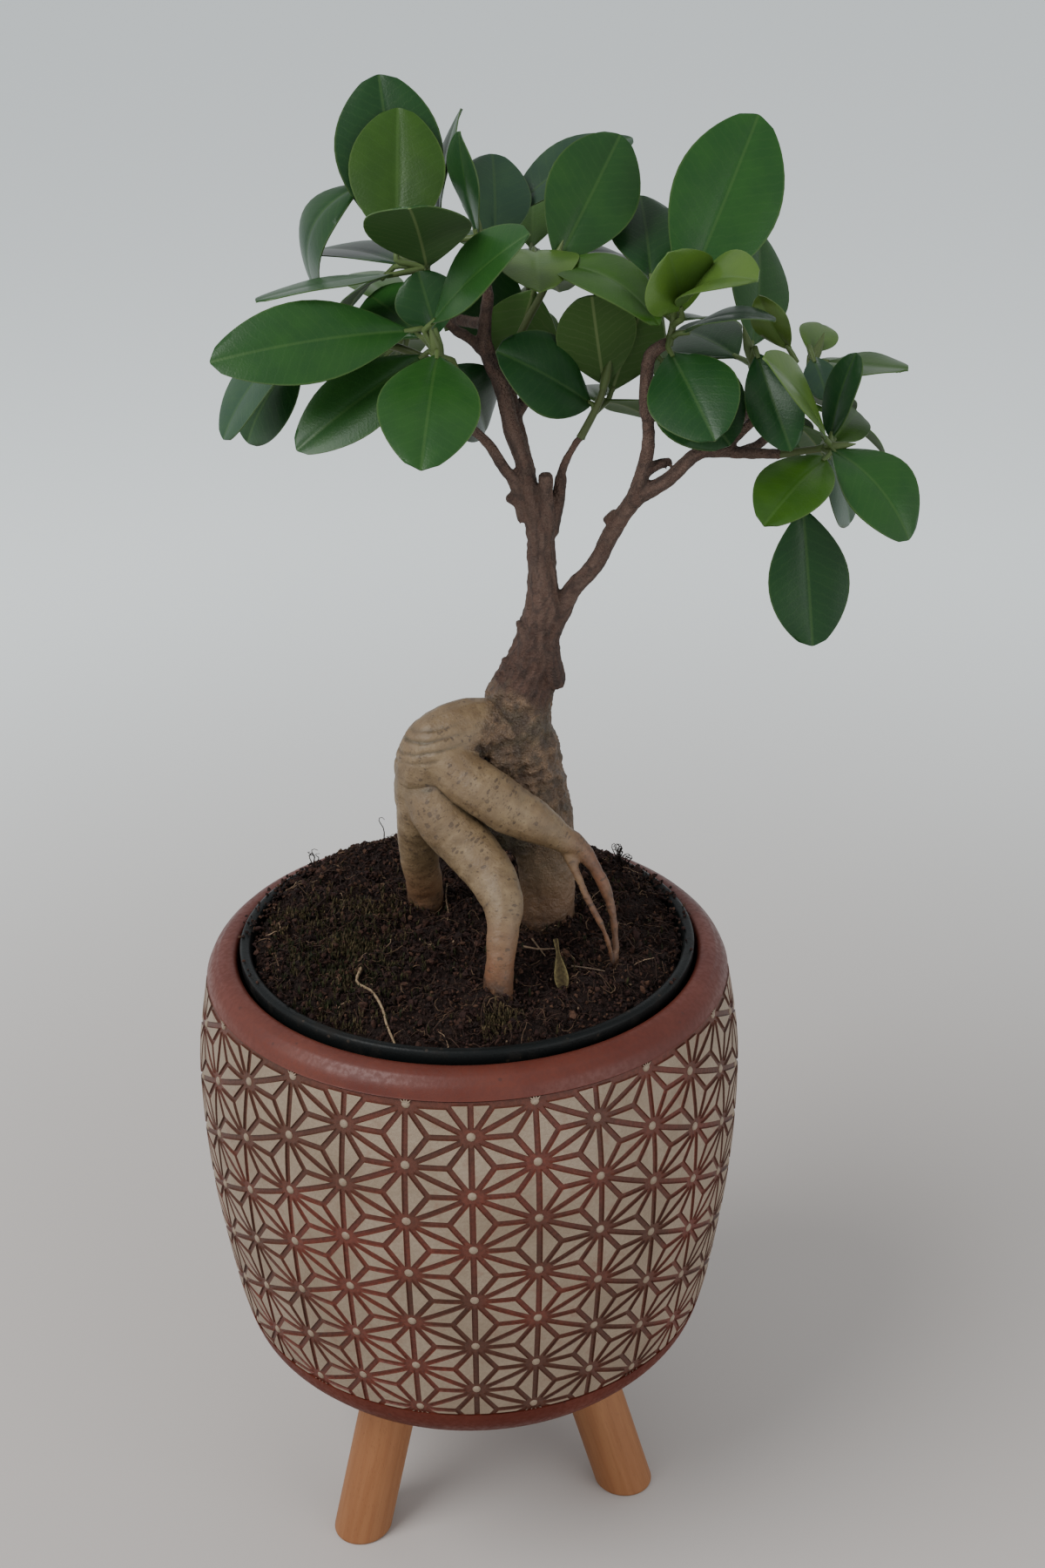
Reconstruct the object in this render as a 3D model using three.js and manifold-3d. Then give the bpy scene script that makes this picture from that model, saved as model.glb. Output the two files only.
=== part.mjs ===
// A small ginseng-rooted ficus bonsai in its nursery pot, which stands in a patterned
// pot on three wooden legs. Millimetres, +Z up. Everything is laid out round the axis
// of the pots, and the finished group is moved so that the middle of its footprint,
// on the surface it stands on, is the origin.
import * as THREE from "three";
import { mergeVertices } from "three/addons/utils/BufferGeometryUtils.js";
import Module from "manifold-3d";

const wasm = await Module();
wasm.setup();

// ---- driving dimensions ----
const CLEARANCE = 0.3; // between pieces that touch
const POT_SIDES = 42;

const POT_BASE_Z = 60.5; // underside of the outer pot
const POT_FLOOR_Z = 68.5; // its inner floor
const POT_LIP_Z = 174.9; // top of its rounded lip
const POT_LIP_RADIUS = 67.9; // outside of the lip
const POT_MOUTH_RADIUS = 60.6; // inside of the lip

const LEG_DIAMETER = 16;
const LEG_SPLAY = THREE.MathUtils.degToRad(17);
const LEG_FOOT_RADIUS = 45; // from the pot's axis to the middle of a sole
const LEG_SOCKET_Z = 64.5; // how far up into the pot's base a leg goes
const LEG_ANGLES = [-48.7, 71.3, 191.3]; // degrees round the pot, 0 at the front
const LEG_SIDES = 18;
const LEG_STOCK = 100; // length of the dowel before both its ends are cut level
const LEG_STOCK_BELOW = 10; // how much of it is below the sole

const NURSERY_RIM_Z = 177.4;
const NURSERY_RIM_RADIUS = 60;
const NURSERY_RIM_DROP = 5; // height of the rolled rim
const NURSERY_TOP_RADIUS = 57; // wall, just under the rim
const NURSERY_BASE_RADIUS = 45;
const NURSERY_WALL = 1.2;
const DRAIN_HOLES = 6;
const DRAIN_HOLE_RADIUS = 4;
const DRAIN_RING_RADIUS = 30;

const SOIL_EDGE_Z = 174.2;
const SOIL_MOUND = 7; // how much higher the soil is in the middle
const SOIL_BACK_HEAP = 5; // and how much it is heaped up against the far rim
const SOIL_SIDES = 30;
const ROOT_HOLE = 0.45; // play round the roots where they enter the soil

const LEAF_THICKNESS = 0.8;
const STALK_RADIUS = 0.8;
const STALK_REACH = 6; // from the base of a blade down to its place on the stem
const SHOOT_RADIUS = 1.2;

// ---- materials ----
function finish(color, roughness, metalness = 0) {
  return new THREE.MeshStandardMaterial({ color, roughness, metalness });
}
const terracotta = finish(0x7d3b33, 0.55);
const beech = finish(0xc98950, 0.6);
const nurseryPlastic = finish(0x15211f, 0.5);
const peat = finish(0x2b1d18, 1.0);
const bark = finish(0x7b6350, 0.85);
const leafGreen = finish(0x2c6a34, 0.4);
const youngGreen = finish(0x5f8f2c, 0.45);

// ---- solids ----
// Turns a closed BufferGeometry into a solid that can be joined and cut.
function solid(geometry) {
  const bare = geometry.clone();
  bare.deleteAttribute("normal");
  bare.deleteAttribute("uv");
  const welded = mergeVertices(bare, 1e-4);
  return new wasm.Manifold(new wasm.Mesh({
    numProp: 3,
    vertProperties: new Float32Array(welded.attributes.position.array),
    triVerts: new Uint32Array(welded.index.array),
  }));
}

function geometryOf(body) {
  const mesh = body.getMesh();
  const geometry = new THREE.BufferGeometry();
  geometry.setAttribute("position", new THREE.BufferAttribute(mesh.vertProperties, 3));
  geometry.setIndex(new THREE.BufferAttribute(mesh.triVerts, 1));
  geometry.computeVertexNormals();
  return geometry;
}

// One body from several that run into each other, without the crumbs of the joining.
function union(bodies) {
  const pieces = bodies.reduce((whole, body) => whole.add(body)).decompose();
  return pieces.reduce((a, b) => (a.volume() > b.volume() ? a : b));
}

// A solid from rings of points that all have the same count, closed at both ends.
function loft(rings) {
  const sides = rings[0].length;
  const points = rings.flat();
  const triangles = [];
  for (let i = 0; i < rings.length - 1; i += 1) {
    for (let k = 0; k < sides; k += 1) {
      const a = i * sides + k;
      const b = i * sides + ((k + 1) % sides);
      triangles.push(a, b, b + sides, a, b + sides, a + sides);
    }
  }
  const last = (rings.length - 1) * sides;
  for (let k = 1; k < sides - 1; k += 1) {
    triangles.push(0, k + 1, k);
    triangles.push(last, last + k, last + k + 1);
  }
  return new wasm.Manifold(new wasm.Mesh({
    numProp: 3,
    vertProperties: new Float32Array(points.flatMap((p) => p.toArray())),
    triVerts: new Uint32Array(triangles),
  }));
}

// A round tapered limb along a smooth curve. Each row is x, y, z and radius.
// flute raises lobes along the limb, as on a swollen root or an old trunk.
function limb(rows, sides, steps, { extra = 0, flute = 0, lobes = 3 } = {}) {
  const path = new THREE.CatmullRomCurve3(rows.map(([x, y, z]) => new THREE.Vector3(x, y, z)));
  const radiusAt = (t) => {
    const place = t * (rows.length - 1);
    const row = Math.min(Math.floor(place), rows.length - 2);
    return THREE.MathUtils.lerp(rows[row][3], rows[row + 1][3], place - row);
  };
  let across = new THREE.Vector3(1, 0, 0);
  const rings = [];
  for (let i = 0; i <= steps; i += 1) {
    const t = i / steps;
    const along = path.getTangent(t).normalize();
    across = across.clone().addScaledVector(along, -across.dot(along)).normalize();
    const other = new THREE.Vector3().crossVectors(along, across);
    const ring = [];
    for (let k = 0; k < sides; k += 1) {
      const turn = (2 * Math.PI * k) / sides;
      const lobe = 1 + flute * Math.cos(lobes * turn + 4 * t);
      const reach = (radiusAt(t) + extra) * lobe;
      ring.push(path.getPoint(t)
        .addScaledVector(across, Math.cos(turn) * reach)
        .addScaledVector(other, Math.sin(turn) * reach));
    }
    rings.push(ring);
  }
  return loft(rings);
}

function turned(profile, sides) {
  const geometry = new THREE.LatheGeometry(profile.map(([r, z]) => new THREE.Vector2(r, z)), sides);
  geometry.rotateX(Math.PI / 2);
  return solid(geometry);
}

function cylinderBetween(start, end, radius, sides) {
  const span = new THREE.Vector3().subVectors(end, start);
  const geometry = new THREE.CylinderGeometry(radius, radius, span.length(), sides);
  geometry.applyQuaternion(new THREE.Quaternion().setFromUnitVectors(
    new THREE.Vector3(0, 1, 0), span.clone().normalize()));
  geometry.translate(...start.clone().add(end).multiplyScalar(0.5).toArray());
  return solid(geometry);
}

function block(width, depth, bottom, top) {
  const geometry = new THREE.BoxGeometry(width, depth, top - bottom);
  geometry.translate(0, 0, (top + bottom) / 2);
  return solid(geometry);
}

const plant = new THREE.Group();

function addPiece(name, body, material) {
  const mesh = new THREE.Mesh(geometryOf(body), material);
  mesh.name = name;
  plant.add(mesh);
}

// ---- legs: beech dowels, splayed, with flat soles ----
function legEnds(angleDegrees) {
  const angle = THREE.MathUtils.degToRad(angleDegrees);
  const outwards = new THREE.Vector3(Math.sin(angle), -Math.cos(angle), 0);
  const sole = outwards.clone().multiplyScalar(LEG_FOOT_RADIUS);
  const axis = outwards.clone().multiplyScalar(-Math.sin(LEG_SPLAY));
  axis.z = Math.cos(LEG_SPLAY);
  return { sole, axis };
}

// The slanted dowel, cut level at the sole and again inside the pot's base.
function legBody(angleDegrees, radius, topZ) {
  const { sole, axis } = legEnds(angleDegrees);
  const below = sole.clone().addScaledVector(axis, -LEG_STOCK_BELOW);
  const above = below.clone().addScaledVector(axis, LEG_STOCK);
  const room = block(4 * LEG_FOOT_RADIUS, 4 * LEG_FOOT_RADIUS, 0, topZ);
  return cylinderBetween(below, above, radius, LEG_SIDES).intersect(room);
}

LEG_ANGLES.forEach((angle, i) => {
  addPiece(`leg_${i + 1}`, legBody(angle, LEG_DIAMETER / 2, LEG_SOCKET_Z), beech);
});

// ---- outer pot: a bellied pot with a rounded lip and sockets for the legs ----
function outerPot() {
  const outside = [
    [58.4, POT_BASE_Z], [60.6, POT_BASE_Z + 1.2], [64, 66.1], [66.4, 74], [68.9, 88.7],
    [71.8, 111.3], [72.9, 132], [72.6, 148], [70.2, 164],
    [69, POT_LIP_Z - 5.1], [POT_LIP_RADIUS, POT_LIP_Z - 2.8], [POT_LIP_RADIUS - 1.7, POT_LIP_Z - 1.1],
  ];
  const lipInside = [
    [POT_MOUTH_RADIUS + 3.4, POT_LIP_Z - 0.1], [POT_MOUTH_RADIUS + 1.4, POT_LIP_Z],
    [POT_MOUTH_RADIUS + 0.4, POT_LIP_Z - 0.7], [POT_MOUTH_RADIUS, POT_LIP_Z - 2.9],
    [POT_MOUTH_RADIUS + 1, POT_LIP_Z - 10],
  ];
  const inside = [[66.9, 139], [65.8, 111], [62.9, 89], [59, 76], [54, POT_FLOOR_Z]];
  const profile = [[0, POT_BASE_Z], ...outside, ...lipInside, ...inside, [0, POT_FLOOR_Z]];
  let pot = turned(profile, POT_SIDES);
  for (const angle of LEG_ANGLES) {
    pot = pot.subtract(legBody(angle, LEG_DIAMETER / 2 + CLEARANCE, LEG_SOCKET_Z + CLEARANCE));
  }
  return pot;
}
addPiece("outer_pot", outerPot(), terracotta);

// ---- nursery pot: thin tapered plastic with a rolled rim and drain holes ----
const NURSERY_BASE_Z = POT_FLOOR_Z + CLEARANCE;
const NURSERY_FLOOR_Z = NURSERY_BASE_Z + 2 * NURSERY_WALL;

function nurseryPot() {
  const rimBottom = NURSERY_RIM_Z - NURSERY_RIM_DROP;
  const profile = [
    [0, NURSERY_BASE_Z], [NURSERY_BASE_RADIUS, NURSERY_BASE_Z],
    [NURSERY_TOP_RADIUS + 0.4, rimBottom], [NURSERY_RIM_RADIUS - 0.4, rimBottom],
    [NURSERY_RIM_RADIUS, rimBottom + 1.5], [NURSERY_RIM_RADIUS, NURSERY_RIM_Z - 0.8],
    [NURSERY_RIM_RADIUS - 0.8, NURSERY_RIM_Z], [NURSERY_RIM_RADIUS - 2.4, NURSERY_RIM_Z],
    [NURSERY_TOP_RADIUS - 0.1, NURSERY_RIM_Z - 1.2],
    [NURSERY_BASE_RADIUS - NURSERY_WALL, NURSERY_FLOOR_Z], [0, NURSERY_FLOOR_Z],
  ];
  let pot = turned(profile, 36);
  for (let i = 0; i < DRAIN_HOLES; i += 1) {
    const turn = (2 * Math.PI * i) / DRAIN_HOLES;
    const x = DRAIN_RING_RADIUS * Math.cos(turn);
    const y = DRAIN_RING_RADIUS * Math.sin(turn);
    const low = new THREE.Vector3(x, y, NURSERY_BASE_Z - 5);
    const high = new THREE.Vector3(x, y, NURSERY_FLOOR_Z + 5);
    pot = pot.subtract(cylinderBetween(low, high, DRAIN_HOLE_RADIUS, 12));
  }
  return pot;
}
addPiece("nursery_pot", nurseryPot(), nurseryPlastic);

// ---- wood: x, y, z and radius of each limb, from the roots up ----
const trunk = [
  [21, 0, 170, 7.6], [21, 0, 183, 7.2], [21, 0, 194, 7.2], [19.6, 1, 206, 8.2], [17.3, 2, 215, 9.4],
  [15, 2, 224, 10], [13.8, 2, 233, 9.6], [14.2, 2, 242, 8.2], [16.8, 2, 249, 7.1], [18.4, 1, 255, 5.9],
  [19.3, 1, 262, 4.6], [20.2, 0, 268, 4], [20.3, 0, 273, 3.5], [20, 0, 281, 3.2], [20, 0, 290, 2.9],
];
const hipRoot = [
  [15, 0, 235, 7.2], [6, -3, 237, 7.2], [-1, -6, 237, 8], [-7, -8, 233, 9], [-10, -8, 226, 7.7],
  [-11, -6, 217, 6.4], [-12, -2, 208, 5.4], [-12, 4, 196, 4.9], [-11, 9, 185, 4.9], [-11, 10, 172, 4.9],
];
const frontRoot = [
  [-9, -8, 226, 7.2], [-7, -12, 219, 7.2], [0, -16, 211, 7], [6, -22, 205, 6.1], [9, -28, 200, 5],
  [9, -32, 195, 4.1], [8, -35, 189, 3.6], [7, -36, 178, 3.9], [7, -37, 170, 3.4],
];
const crossingRoot = [
  [-7, -8, 234, 7.6], [-1, -13, 229, 6.6], [5, -16, 225, 6.7], [11, -17, 221, 6.3], [18, -18, 217, 5.2],
  [24, -18, 213, 3.6], [28, -18, 210, 2.8], [32, -19, 204, 2], [35, -20, 195, 1.5], [37, -21, 186, 1.3],
  [38, -22, 172, 1.1],
];
const crossingFork = [
  [27, -18, 211, 2], [29, -20, 204, 1.5], [32, -22, 197, 1.2], [34, -24, 189, 1.1], [35, -25, 172, 1],
];
const roots = [hipRoot, frontRoot, crossingRoot, crossingFork];
const branches = [
  // left leader, and its arms to the left and back
  [[19, 0, 286, 2.6], [17, 0, 298, 2.2], [16, -1, 304, 2.1], [13, -2, 313, 2], [11, 0, 322, 1.8],
    [8, 2, 329, 1.7], [7, 4, 334, 1.5], [8, 7, 342, 1.3]],
  [[8, 2, 329, 1.4], [5, 3, 332, 1.2], [2, 4, 334, 1.2], [0, 5, 335, 1.1]],
  [[7, 5, 336, 1.3], [2, 15, 335, 1.3], [-5, 25, 334, 1.1]],
  // second leader beside it
  [[19, 2, 287, 2.1], [17, 4, 300, 1.7], [15, 5, 310, 1.6], [13, 5, 319, 1.5], [12, 4, 323, 1.3]],
  [[14, 5, 314, 1.5], [20, 16, 322, 1.4], [18, 28, 333, 1.2]],
  // low arm to the left
  [[16, -1, 290, 1.7], [14, -2, 299, 1.5], [11, -3, 304, 1.3], [7, -3, 310, 1.2], [3, -3, 313, 1.1]],
  // cut stubs and the thin twig between the leaders
  [[21, -1, 286, 2], [21, -2, 297, 1.6], [21, -3, 302, 1.6]],
  [[22, 1, 286, 2], [24, 1, 294, 1.6], [25, 1, 300, 1.4]],
  [[23, 1, 292, 1.2], [26, 1, 304, 0.9], [29, 0, 309, 0.8]],
  // right branch, its upright arm and its level arm
  [[20, 0, 257, 2.8], [25, 0, 267, 2.4], [28, -1, 273, 2.1], [33, -2, 279, 2], [37, -2, 287, 2],
    [43, -4, 297, 2]],
  [[42, -4, 295, 2], [44, -5, 303, 1.6], [45, -6, 309, 1.5], [45, -7, 314, 1.4], [44, -8, 320, 1.4],
    [44, -9, 327, 1.4], [45, -10, 332, 1.4], [48, -10, 333, 1.3]],
  [[42, -4, 296, 2], [50, -6, 301, 1.7], [57, -8, 308, 1.5], [66, -9, 308, 1.2], [74, -10, 308, 1.1]],
  [[62, -8, 308, 1.2], [66, -8, 312, 1.1], [71, -8, 316, 1]],
  [[66, -9, 308, 1.2], [72, -4, 309, 1.1], [78, 3, 312, 1]],
  // arms to the back, which carry the crown's far side
  [[44, -7, 317, 1.4], [46, 8, 324, 1.3], [49, 24, 331, 1.1]],
  [[60, -8, 308, 1.3], [68, 8, 311, 1.2], [77, 22, 315, 1.1]],
];

// The trunk is gently lobed; the roots and branches are round. With extra they come
// out thicker by that much, to cut their holes in the soil.
function trunkBody(extra = 0) {
  return limb(trunk, 10, 11, { extra, flute: 0.09 });
}

function rootBody(rows, extra = 0) {
  const sides = rows[0][3] > 4 ? 8 : 5;
  return limb(rows, sides, rows.length, { extra });
}

function tree() {
  const rootBodies = roots.map((rows) => rootBody(rows));
  const branchBodies = branches.map((rows) => limb(rows, 5, rows.length - 1));
  return union([trunkBody(), ...rootBodies, ...branchBodies]);
}
addPiece("tree", tree(), bark);

// ---- soil: an uneven mound, higher at the back, with a hole for each root ----
function soilLump(x, y) {
  const broad = 1.1 * Math.sin(x * 0.21 + 1.3) * Math.cos(y * 0.17);
  return broad + 0.8 * Math.sin(x * 0.4 + y * 0.33) + 0.7 * Math.cos(x * 0.36 - y * 0.41 + 0.7);
}

function soil() {
  const floor = NURSERY_FLOOR_Z + CLEARANCE;
  const slope = (NURSERY_TOP_RADIUS - NURSERY_BASE_RADIUS) / (NURSERY_RIM_Z - NURSERY_FLOOR_Z);
  const bottomRadius = NURSERY_BASE_RADIUS - NURSERY_WALL - 1.3 * CLEARANCE;
  const edgeRadius = bottomRadius + slope * (SOIL_EDGE_Z - floor) - CLEARANCE;
  const surface = [1, 0.9, 0.77, 0.62, 0.44, 0.22].map((share) => [
    edgeRadius * share, SOIL_EDGE_Z + SOIL_MOUND * (1 - share ** 4)]);
  const profile = [[0, floor], [bottomRadius, floor], ...surface, [0, SOIL_EDGE_Z + SOIL_MOUND]];
  const outline = profile.map(([r, z]) => new THREE.Vector2(r, z));
  const geometry = new THREE.LatheGeometry(outline, SOIL_SIDES);
  geometry.rotateX(Math.PI / 2);
  const position = geometry.attributes.position;
  for (let i = 0; i < position.count; i += 1) {
    const x = position.getX(i);
    const y = position.getY(i);
    const z = position.getZ(i);
    const heap = SOIL_BACK_HEAP * THREE.MathUtils.smoothstep(y, 0, 0.9 * edgeRadius);
    const lump = z > SOIL_EDGE_Z ? soilLump(x, y) : 0;
    if (z > floor + 1) position.setZ(i, z + heap + lump);
  }
  const holes = [trunkBody(ROOT_HOLE), ...roots.map((rows) => rootBody(rows, ROOT_HOLE))];
  return holes.reduce((mound, hole) => mound.subtract(hole), solid(geometry));
}
addPiece("soil", soil(), peat);

// ---- leaves ----
// Half the blade's width at u, from 0 at the base to 1 at the tip, as a share of half
// the full width: wedge-shaped below, fullest past the middle, with a round tip.
function bladeOutline(u) {
  return Math.sin(Math.PI * u ** 1.1) ** (0.78 - 0.14 * u);
}

function leaf(base, tip, width, face, arch, fold) {
  return { base: new THREE.Vector3(...base), tip: new THREE.Vector3(...tip), width, face, arch, fold };
}

function bladeFrame({ base, tip, face }) {
  const along = new THREE.Vector3().subVectors(tip, base).normalize();
  const up = new THREE.Vector3(...face);
  up.addScaledVector(along, -up.dot(along)).normalize();
  const side = new THREE.Vector3().crossVectors(along, up);
  return { along, up, side, length: base.distanceTo(tip) };
}

// A leaf is one loft: a round stalk from the stem, then the flat blade, which is arched
// along its midrib and folded a little upwards on both sides of it. Each section has
// six points: left edge, midrib and right edge on top, then the same three underneath.
const BLADE_STATIONS = [0.13, 0.37, 0.65, 0.88, 0.993];
const BLADE_COLUMNS = [-1, 0, 1];

function section(middle, side, skin, reach, lift, thickness) {
  const top = BLADE_COLUMNS.map((v) => middle.clone().addScaledVector(side, v * reach)
    .addScaledVector(skin, Math.abs(v) * lift + thickness / 2));
  const under = top.map((p) => p.clone().addScaledVector(skin, -thickness));
  return [...top, ...under.reverse()];
}

// A round section of a stalk, square to the way it runs there.
function stalkSection(middle, side, run, thickness) {
  const across = side.clone().addScaledVector(run, -side.dot(run)).normalize();
  const skin = new THREE.Vector3().crossVectors(across, run).normalize();
  return section(middle, across, skin, STALK_RADIUS, 0, thickness);
}

function leafBody(stem, row, order) {
  const { along, up, side, length } = bladeFrame(row);
  const node = nodeOnStem(stem, row.base.clone().addScaledVector(along, -STALK_REACH), order);
  const stalk = new THREE.Vector3().subVectors(row.base, node).normalize();
  const runAt = (u) => along.clone().addScaledVector(up, row.arch * 4 * (1 - 2 * u)).normalize();
  const joint = stalk.clone().add(runAt(0)).normalize(); // halfway from the stalk's way to the blade's
  const rings = [
    stalkSection(node, side, stalk, 2 * STALK_RADIUS),
    stalkSection(row.base, side, joint, 1.7 * STALK_RADIUS),
  ];
  for (const u of BLADE_STATIONS) {
    const skin = new THREE.Vector3().crossVectors(side, runAt(u)).normalize();
    const middle = row.base.clone().addScaledVector(along, length * u)
      .addScaledVector(up, row.arch * length * 4 * u * (1 - u));
    const reach = (bladeOutline(u) * row.width) / 2;
    rings.push(section(middle, side, skin, reach, row.fold * reach, LEAF_THICKNESS));
  }
  return leafLoft(rings);
}

// The two faces of a blade are split into the same triangles.
function leafLoft(rings) {
  const points = rings.flat();
  const triangles = [];
  const quad = (a, b, c, d, swap) => {
    if (swap) triangles.push(a, b, d, b, c, d);
    else triangles.push(a, b, c, a, c, d);
  };
  for (let i = 0; i < rings.length - 1; i += 1) {
    const a = i * 6;
    const b = a + 6;
    quad(a, a + 1, b + 1, b, false);
    quad(a + 1, a + 2, b + 2, b + 1, false);
    quad(a + 3, a + 4, b + 4, b + 3, true);
    quad(a + 4, a + 5, b + 5, b + 4, true);
    quad(a + 2, a + 3, b + 3, b + 2, false);
    quad(a + 5, a, b, b + 5, false);
  }
  const last = (rings.length - 1) * 6;
  for (const [a, b, c] of [[0, 4, 1], [0, 5, 4], [1, 3, 2], [1, 4, 3]]) {
    triangles.push(a, b, c);
    triangles.push(last + a, last + c, last + b);
  }
  return new wasm.Manifold(new wasm.Mesh({
    numProp: 3,
    vertProperties: new Float32Array(points.flatMap((p) => p.toArray())),
    triVerts: new Uint32Array(triangles),
  }));
}

// The nearest place on a shoot's stem to where a leaf's stalk wants to start. No two
// leaves share a place, so each has its own small shift along the stem.
function nodeOnStem(stem, wanted, order) {
  const path = new THREE.CatmullRomCurve3(stem.map((p) => new THREE.Vector3(...p)));
  let best = path.getPoint(0.97 - 0.05 * order);
  for (let i = 0; i < 20; i += 1) {
    const place = path.getPoint((i + 0.11 * order) / 21);
    if (place.distanceTo(wanted) < best.distanceTo(wanted)) best = place;
  }
  return best;
}

// A leafy shoot: its green stem, a leaf's stalk and blade for each row, and the
// pointed bud at its tip.
function shoot(name, stem, leaves, material) {
  const stemRows = stem.map((p, i) => [...p, SHOOT_RADIUS - (0.3 * i) / stem.length]);
  const end = new THREE.Vector3(...stem.at(-1));
  const before = new THREE.Vector3(...stem.at(-2));
  const onwards = end.clone().sub(before).normalize();
  const budFoot = end.clone().addScaledVector(onwards, -1.7);
  const budTip = end.clone().addScaledVector(onwards, 7);
  const bud = limb([[...budFoot.toArray(), 1.25], [...budTip.toArray(), 0.4]], 6, 1);
  const leafBodies = leaves.map((row, order) => leafBody(stem, row, order));
  addPiece(name, union([limb(stemRows, 5, stem.length), bud, ...leafBodies]), material);
}

// Each leaf: base of the blade, tip, width, the way its upper face looks, how far it
// arches (share of its length) and how far its sides fold up.
shoot("shoot_left_top", [[-1.5, 5.6, 335.6], [-4, 6, 342], [-6, 7, 347], [-7, 8, 350]], [
  leaf([-12.3, 14, 353], [-16.5, 30, 390], 25.5, [0.1, -1, 0.3], 0.05, 0.1),
  leaf([-13, 8, 353], [-12, 24, 383], 22.5, [0, -1, 0.35], 0.05, 0.1),
  leaf([-6, 3, 350], [-9, -28, 368], 24, [0, 0.6, 0.9], 0.05, 0.1),
  leaf([-20, 19.6, 366.5], [-32.5, 20.6, 341], 19, [-0.85, -0.4, 0.3], 0.28, 0),
  leaf([-12, 12, 349], [-33, 32, 349], 20, [-0.1, 0.05, 1], 0.05, 0.1),
  leaf([-16, 14, 346], [-26, 22, 336], 12, [-0.4, 0.1, 0.8], 0.1, 0.1),
  leaf([-14, 4, 348], [-45, -10, 345], 20, [0.1, 0.15, 1], 0.03, 0.05),
], leafGreen);

shoot("shoot_left_front", [[1.8, -3.6, 315], [-1, -6, 322], [-3, -9, 329], [-4, -10, 333]], [
  leaf([-10, -10, 338], [-55, -22, 334], 20, [0, -0.8, 0.6], 0.06, 0.05),
  leaf([-7, -8, 332], [-37, -18, 312.5], 17, [-0.3, -0.8, 0.5], 0.04, 0.1),
  leaf([-4, -13, 333], [-8, -42, 314], 23, [0, -0.8, 0.6], 0.08, 0.08),
  leaf([0, -6, 329], [7, 14, 308], 17, [0.4, -0.8, 0.3], 0.05, 0.1),
  leaf([-5, -12, 340], [17, -26, 362], 20, [-0.85, -0.3, 0.5], 0.05, 0.2),
  leaf([-8, -4, 335.5], [-20, 16, 341], 19, [-0.2, -0.6, 0.8], 0.05, 0.1),
  leaf([-4, -5, 336], [-8, -2, 350], 15, [0, -0.9, 0.2], 0.05, 0.1),
], leafGreen);

shoot("shoot_left_low", [[-5, -3, 329], [-13, 0, 332], [-23, 4, 333], [-31, 6, 334]], [
  leaf([-36, 2, 334], [-55, -2, 311], 17, [-0.8, -0.5, 0.4], 0.1, 0.1),
  leaf([-36, 10, 330], [-51, 14, 306], 17, [-0.4, -0.8, 0.4], 0.1, 0.1),
], leafGreen);

shoot("shoot_middle_top", [[7.8, 8, 344.4], [7, 10, 350], [6, 12, 356]], [
  leaf([-3, 18, 357], [3, 30, 382], 15, [-1, -0.25, 0.1], 0.06, 0.1),
  leaf([6, 8, 356], [2, 3, 380], 16, [-0.9, -0.4, 0.1], 0.03, 0.1),
  leaf([10, 16, 352], [10, 34, 371], 18, [0.2, -0.6, 0.6], 0.05, 0.1),
  leaf([12.5, 28, 356.5], [45, 44, 373], 15, [-0.3, -0.6, 0.7], 0.1, 0.1),
  leaf([9, 26, 350], [6, 32, 326], 19, [0.1, -0.8, 0.5], 0.05, 0.1),
], leafGreen);

shoot("shoot_centre", [[12, 4, 325.4], [16, 4, 335], [21, 4, 344], [23, 4, 349]], [
  leaf([24, 4, 350], [40, 22, 376.6], 22, [0.1, -1, 0.35], 0.05, 0.1),
  leaf([20, -7, 351], [46, -20, 340], 18, [0.1, -0.32, 0.95], 0.18, 0.1),
  leaf([19, 8, 352], [19, -20, 348], 19, [0, -0.3, 1], 0.1, 0.15),
  leaf([27, 8, 351], [47, 20, 345], 14, [0, -0.1, 1], 0.1, 0.1),
  leaf([19, 10, 343], [12, 13, 322], 18, [0.3, 0.7, 0.5], 0.05, 0.1),
], youngGreen);

shoot("shoot_twig", [[29.8, 0, 310.6], [34, 0, 319], [35, 0, 323]], [
  leaf([32, 0, 318], [9, -14, 334], 20, [0.1, -0.8, 0.6], 0.05, 0.1),
  leaf([35, 2, 322], [31, -12, 346], 19, [-0.1, 0.8, 0.6], 0.05, 0.1),
  leaf([37, 4, 320], [44, -4, 343], 16, [0.2, 0.8, 0.6], 0.05, 0.1),
  leaf([35, 4, 318], [49, 18, 309], 14, [-0.1, 0.25, 1], 0.05, 0.1),
  leaf([34, 8, 317], [31, 26, 316], 13, [0, 0.3, 1], 0.05, 0.1),
], leafGreen);

shoot("shoot_right_inner", [[49, -10, 334.6], [49.5, -10, 337], [50, -11, 341]], [
  leaf([53, -4, 343.5], [71.2, 14, 381.8], 26, [0.1, -1, 0.3], 0.03, 0.1),
  leaf([46, 4, 346], [45, 26, 362], 18, [0.1, -0.8, 0.5], 0.05, 0.1),
  leaf([51, -14, 343], [66, -31, 352], 17, [-0.2, -0.4, 1], 0.15, 0.3),
  leaf([51, -15, 342.5], [47, -23, 357], 19, [0.1, -0.8, 0.5], 0.05, 0.2),
  leaf([52, -12, 337], [72, -20, 341], 15, [0.1, -0.05, 1], 0.12, 0.1),
  leaf([49, -14, 333], [57, -36, 318], 21, [-0.1, -0.85, 0.5], 0.05, 0.1),
  leaf([48, -4, 329], [63, -18, 312], 22, [0, -0.85, 0.5], 0.05, 0.1),
], leafGreen);

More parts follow.
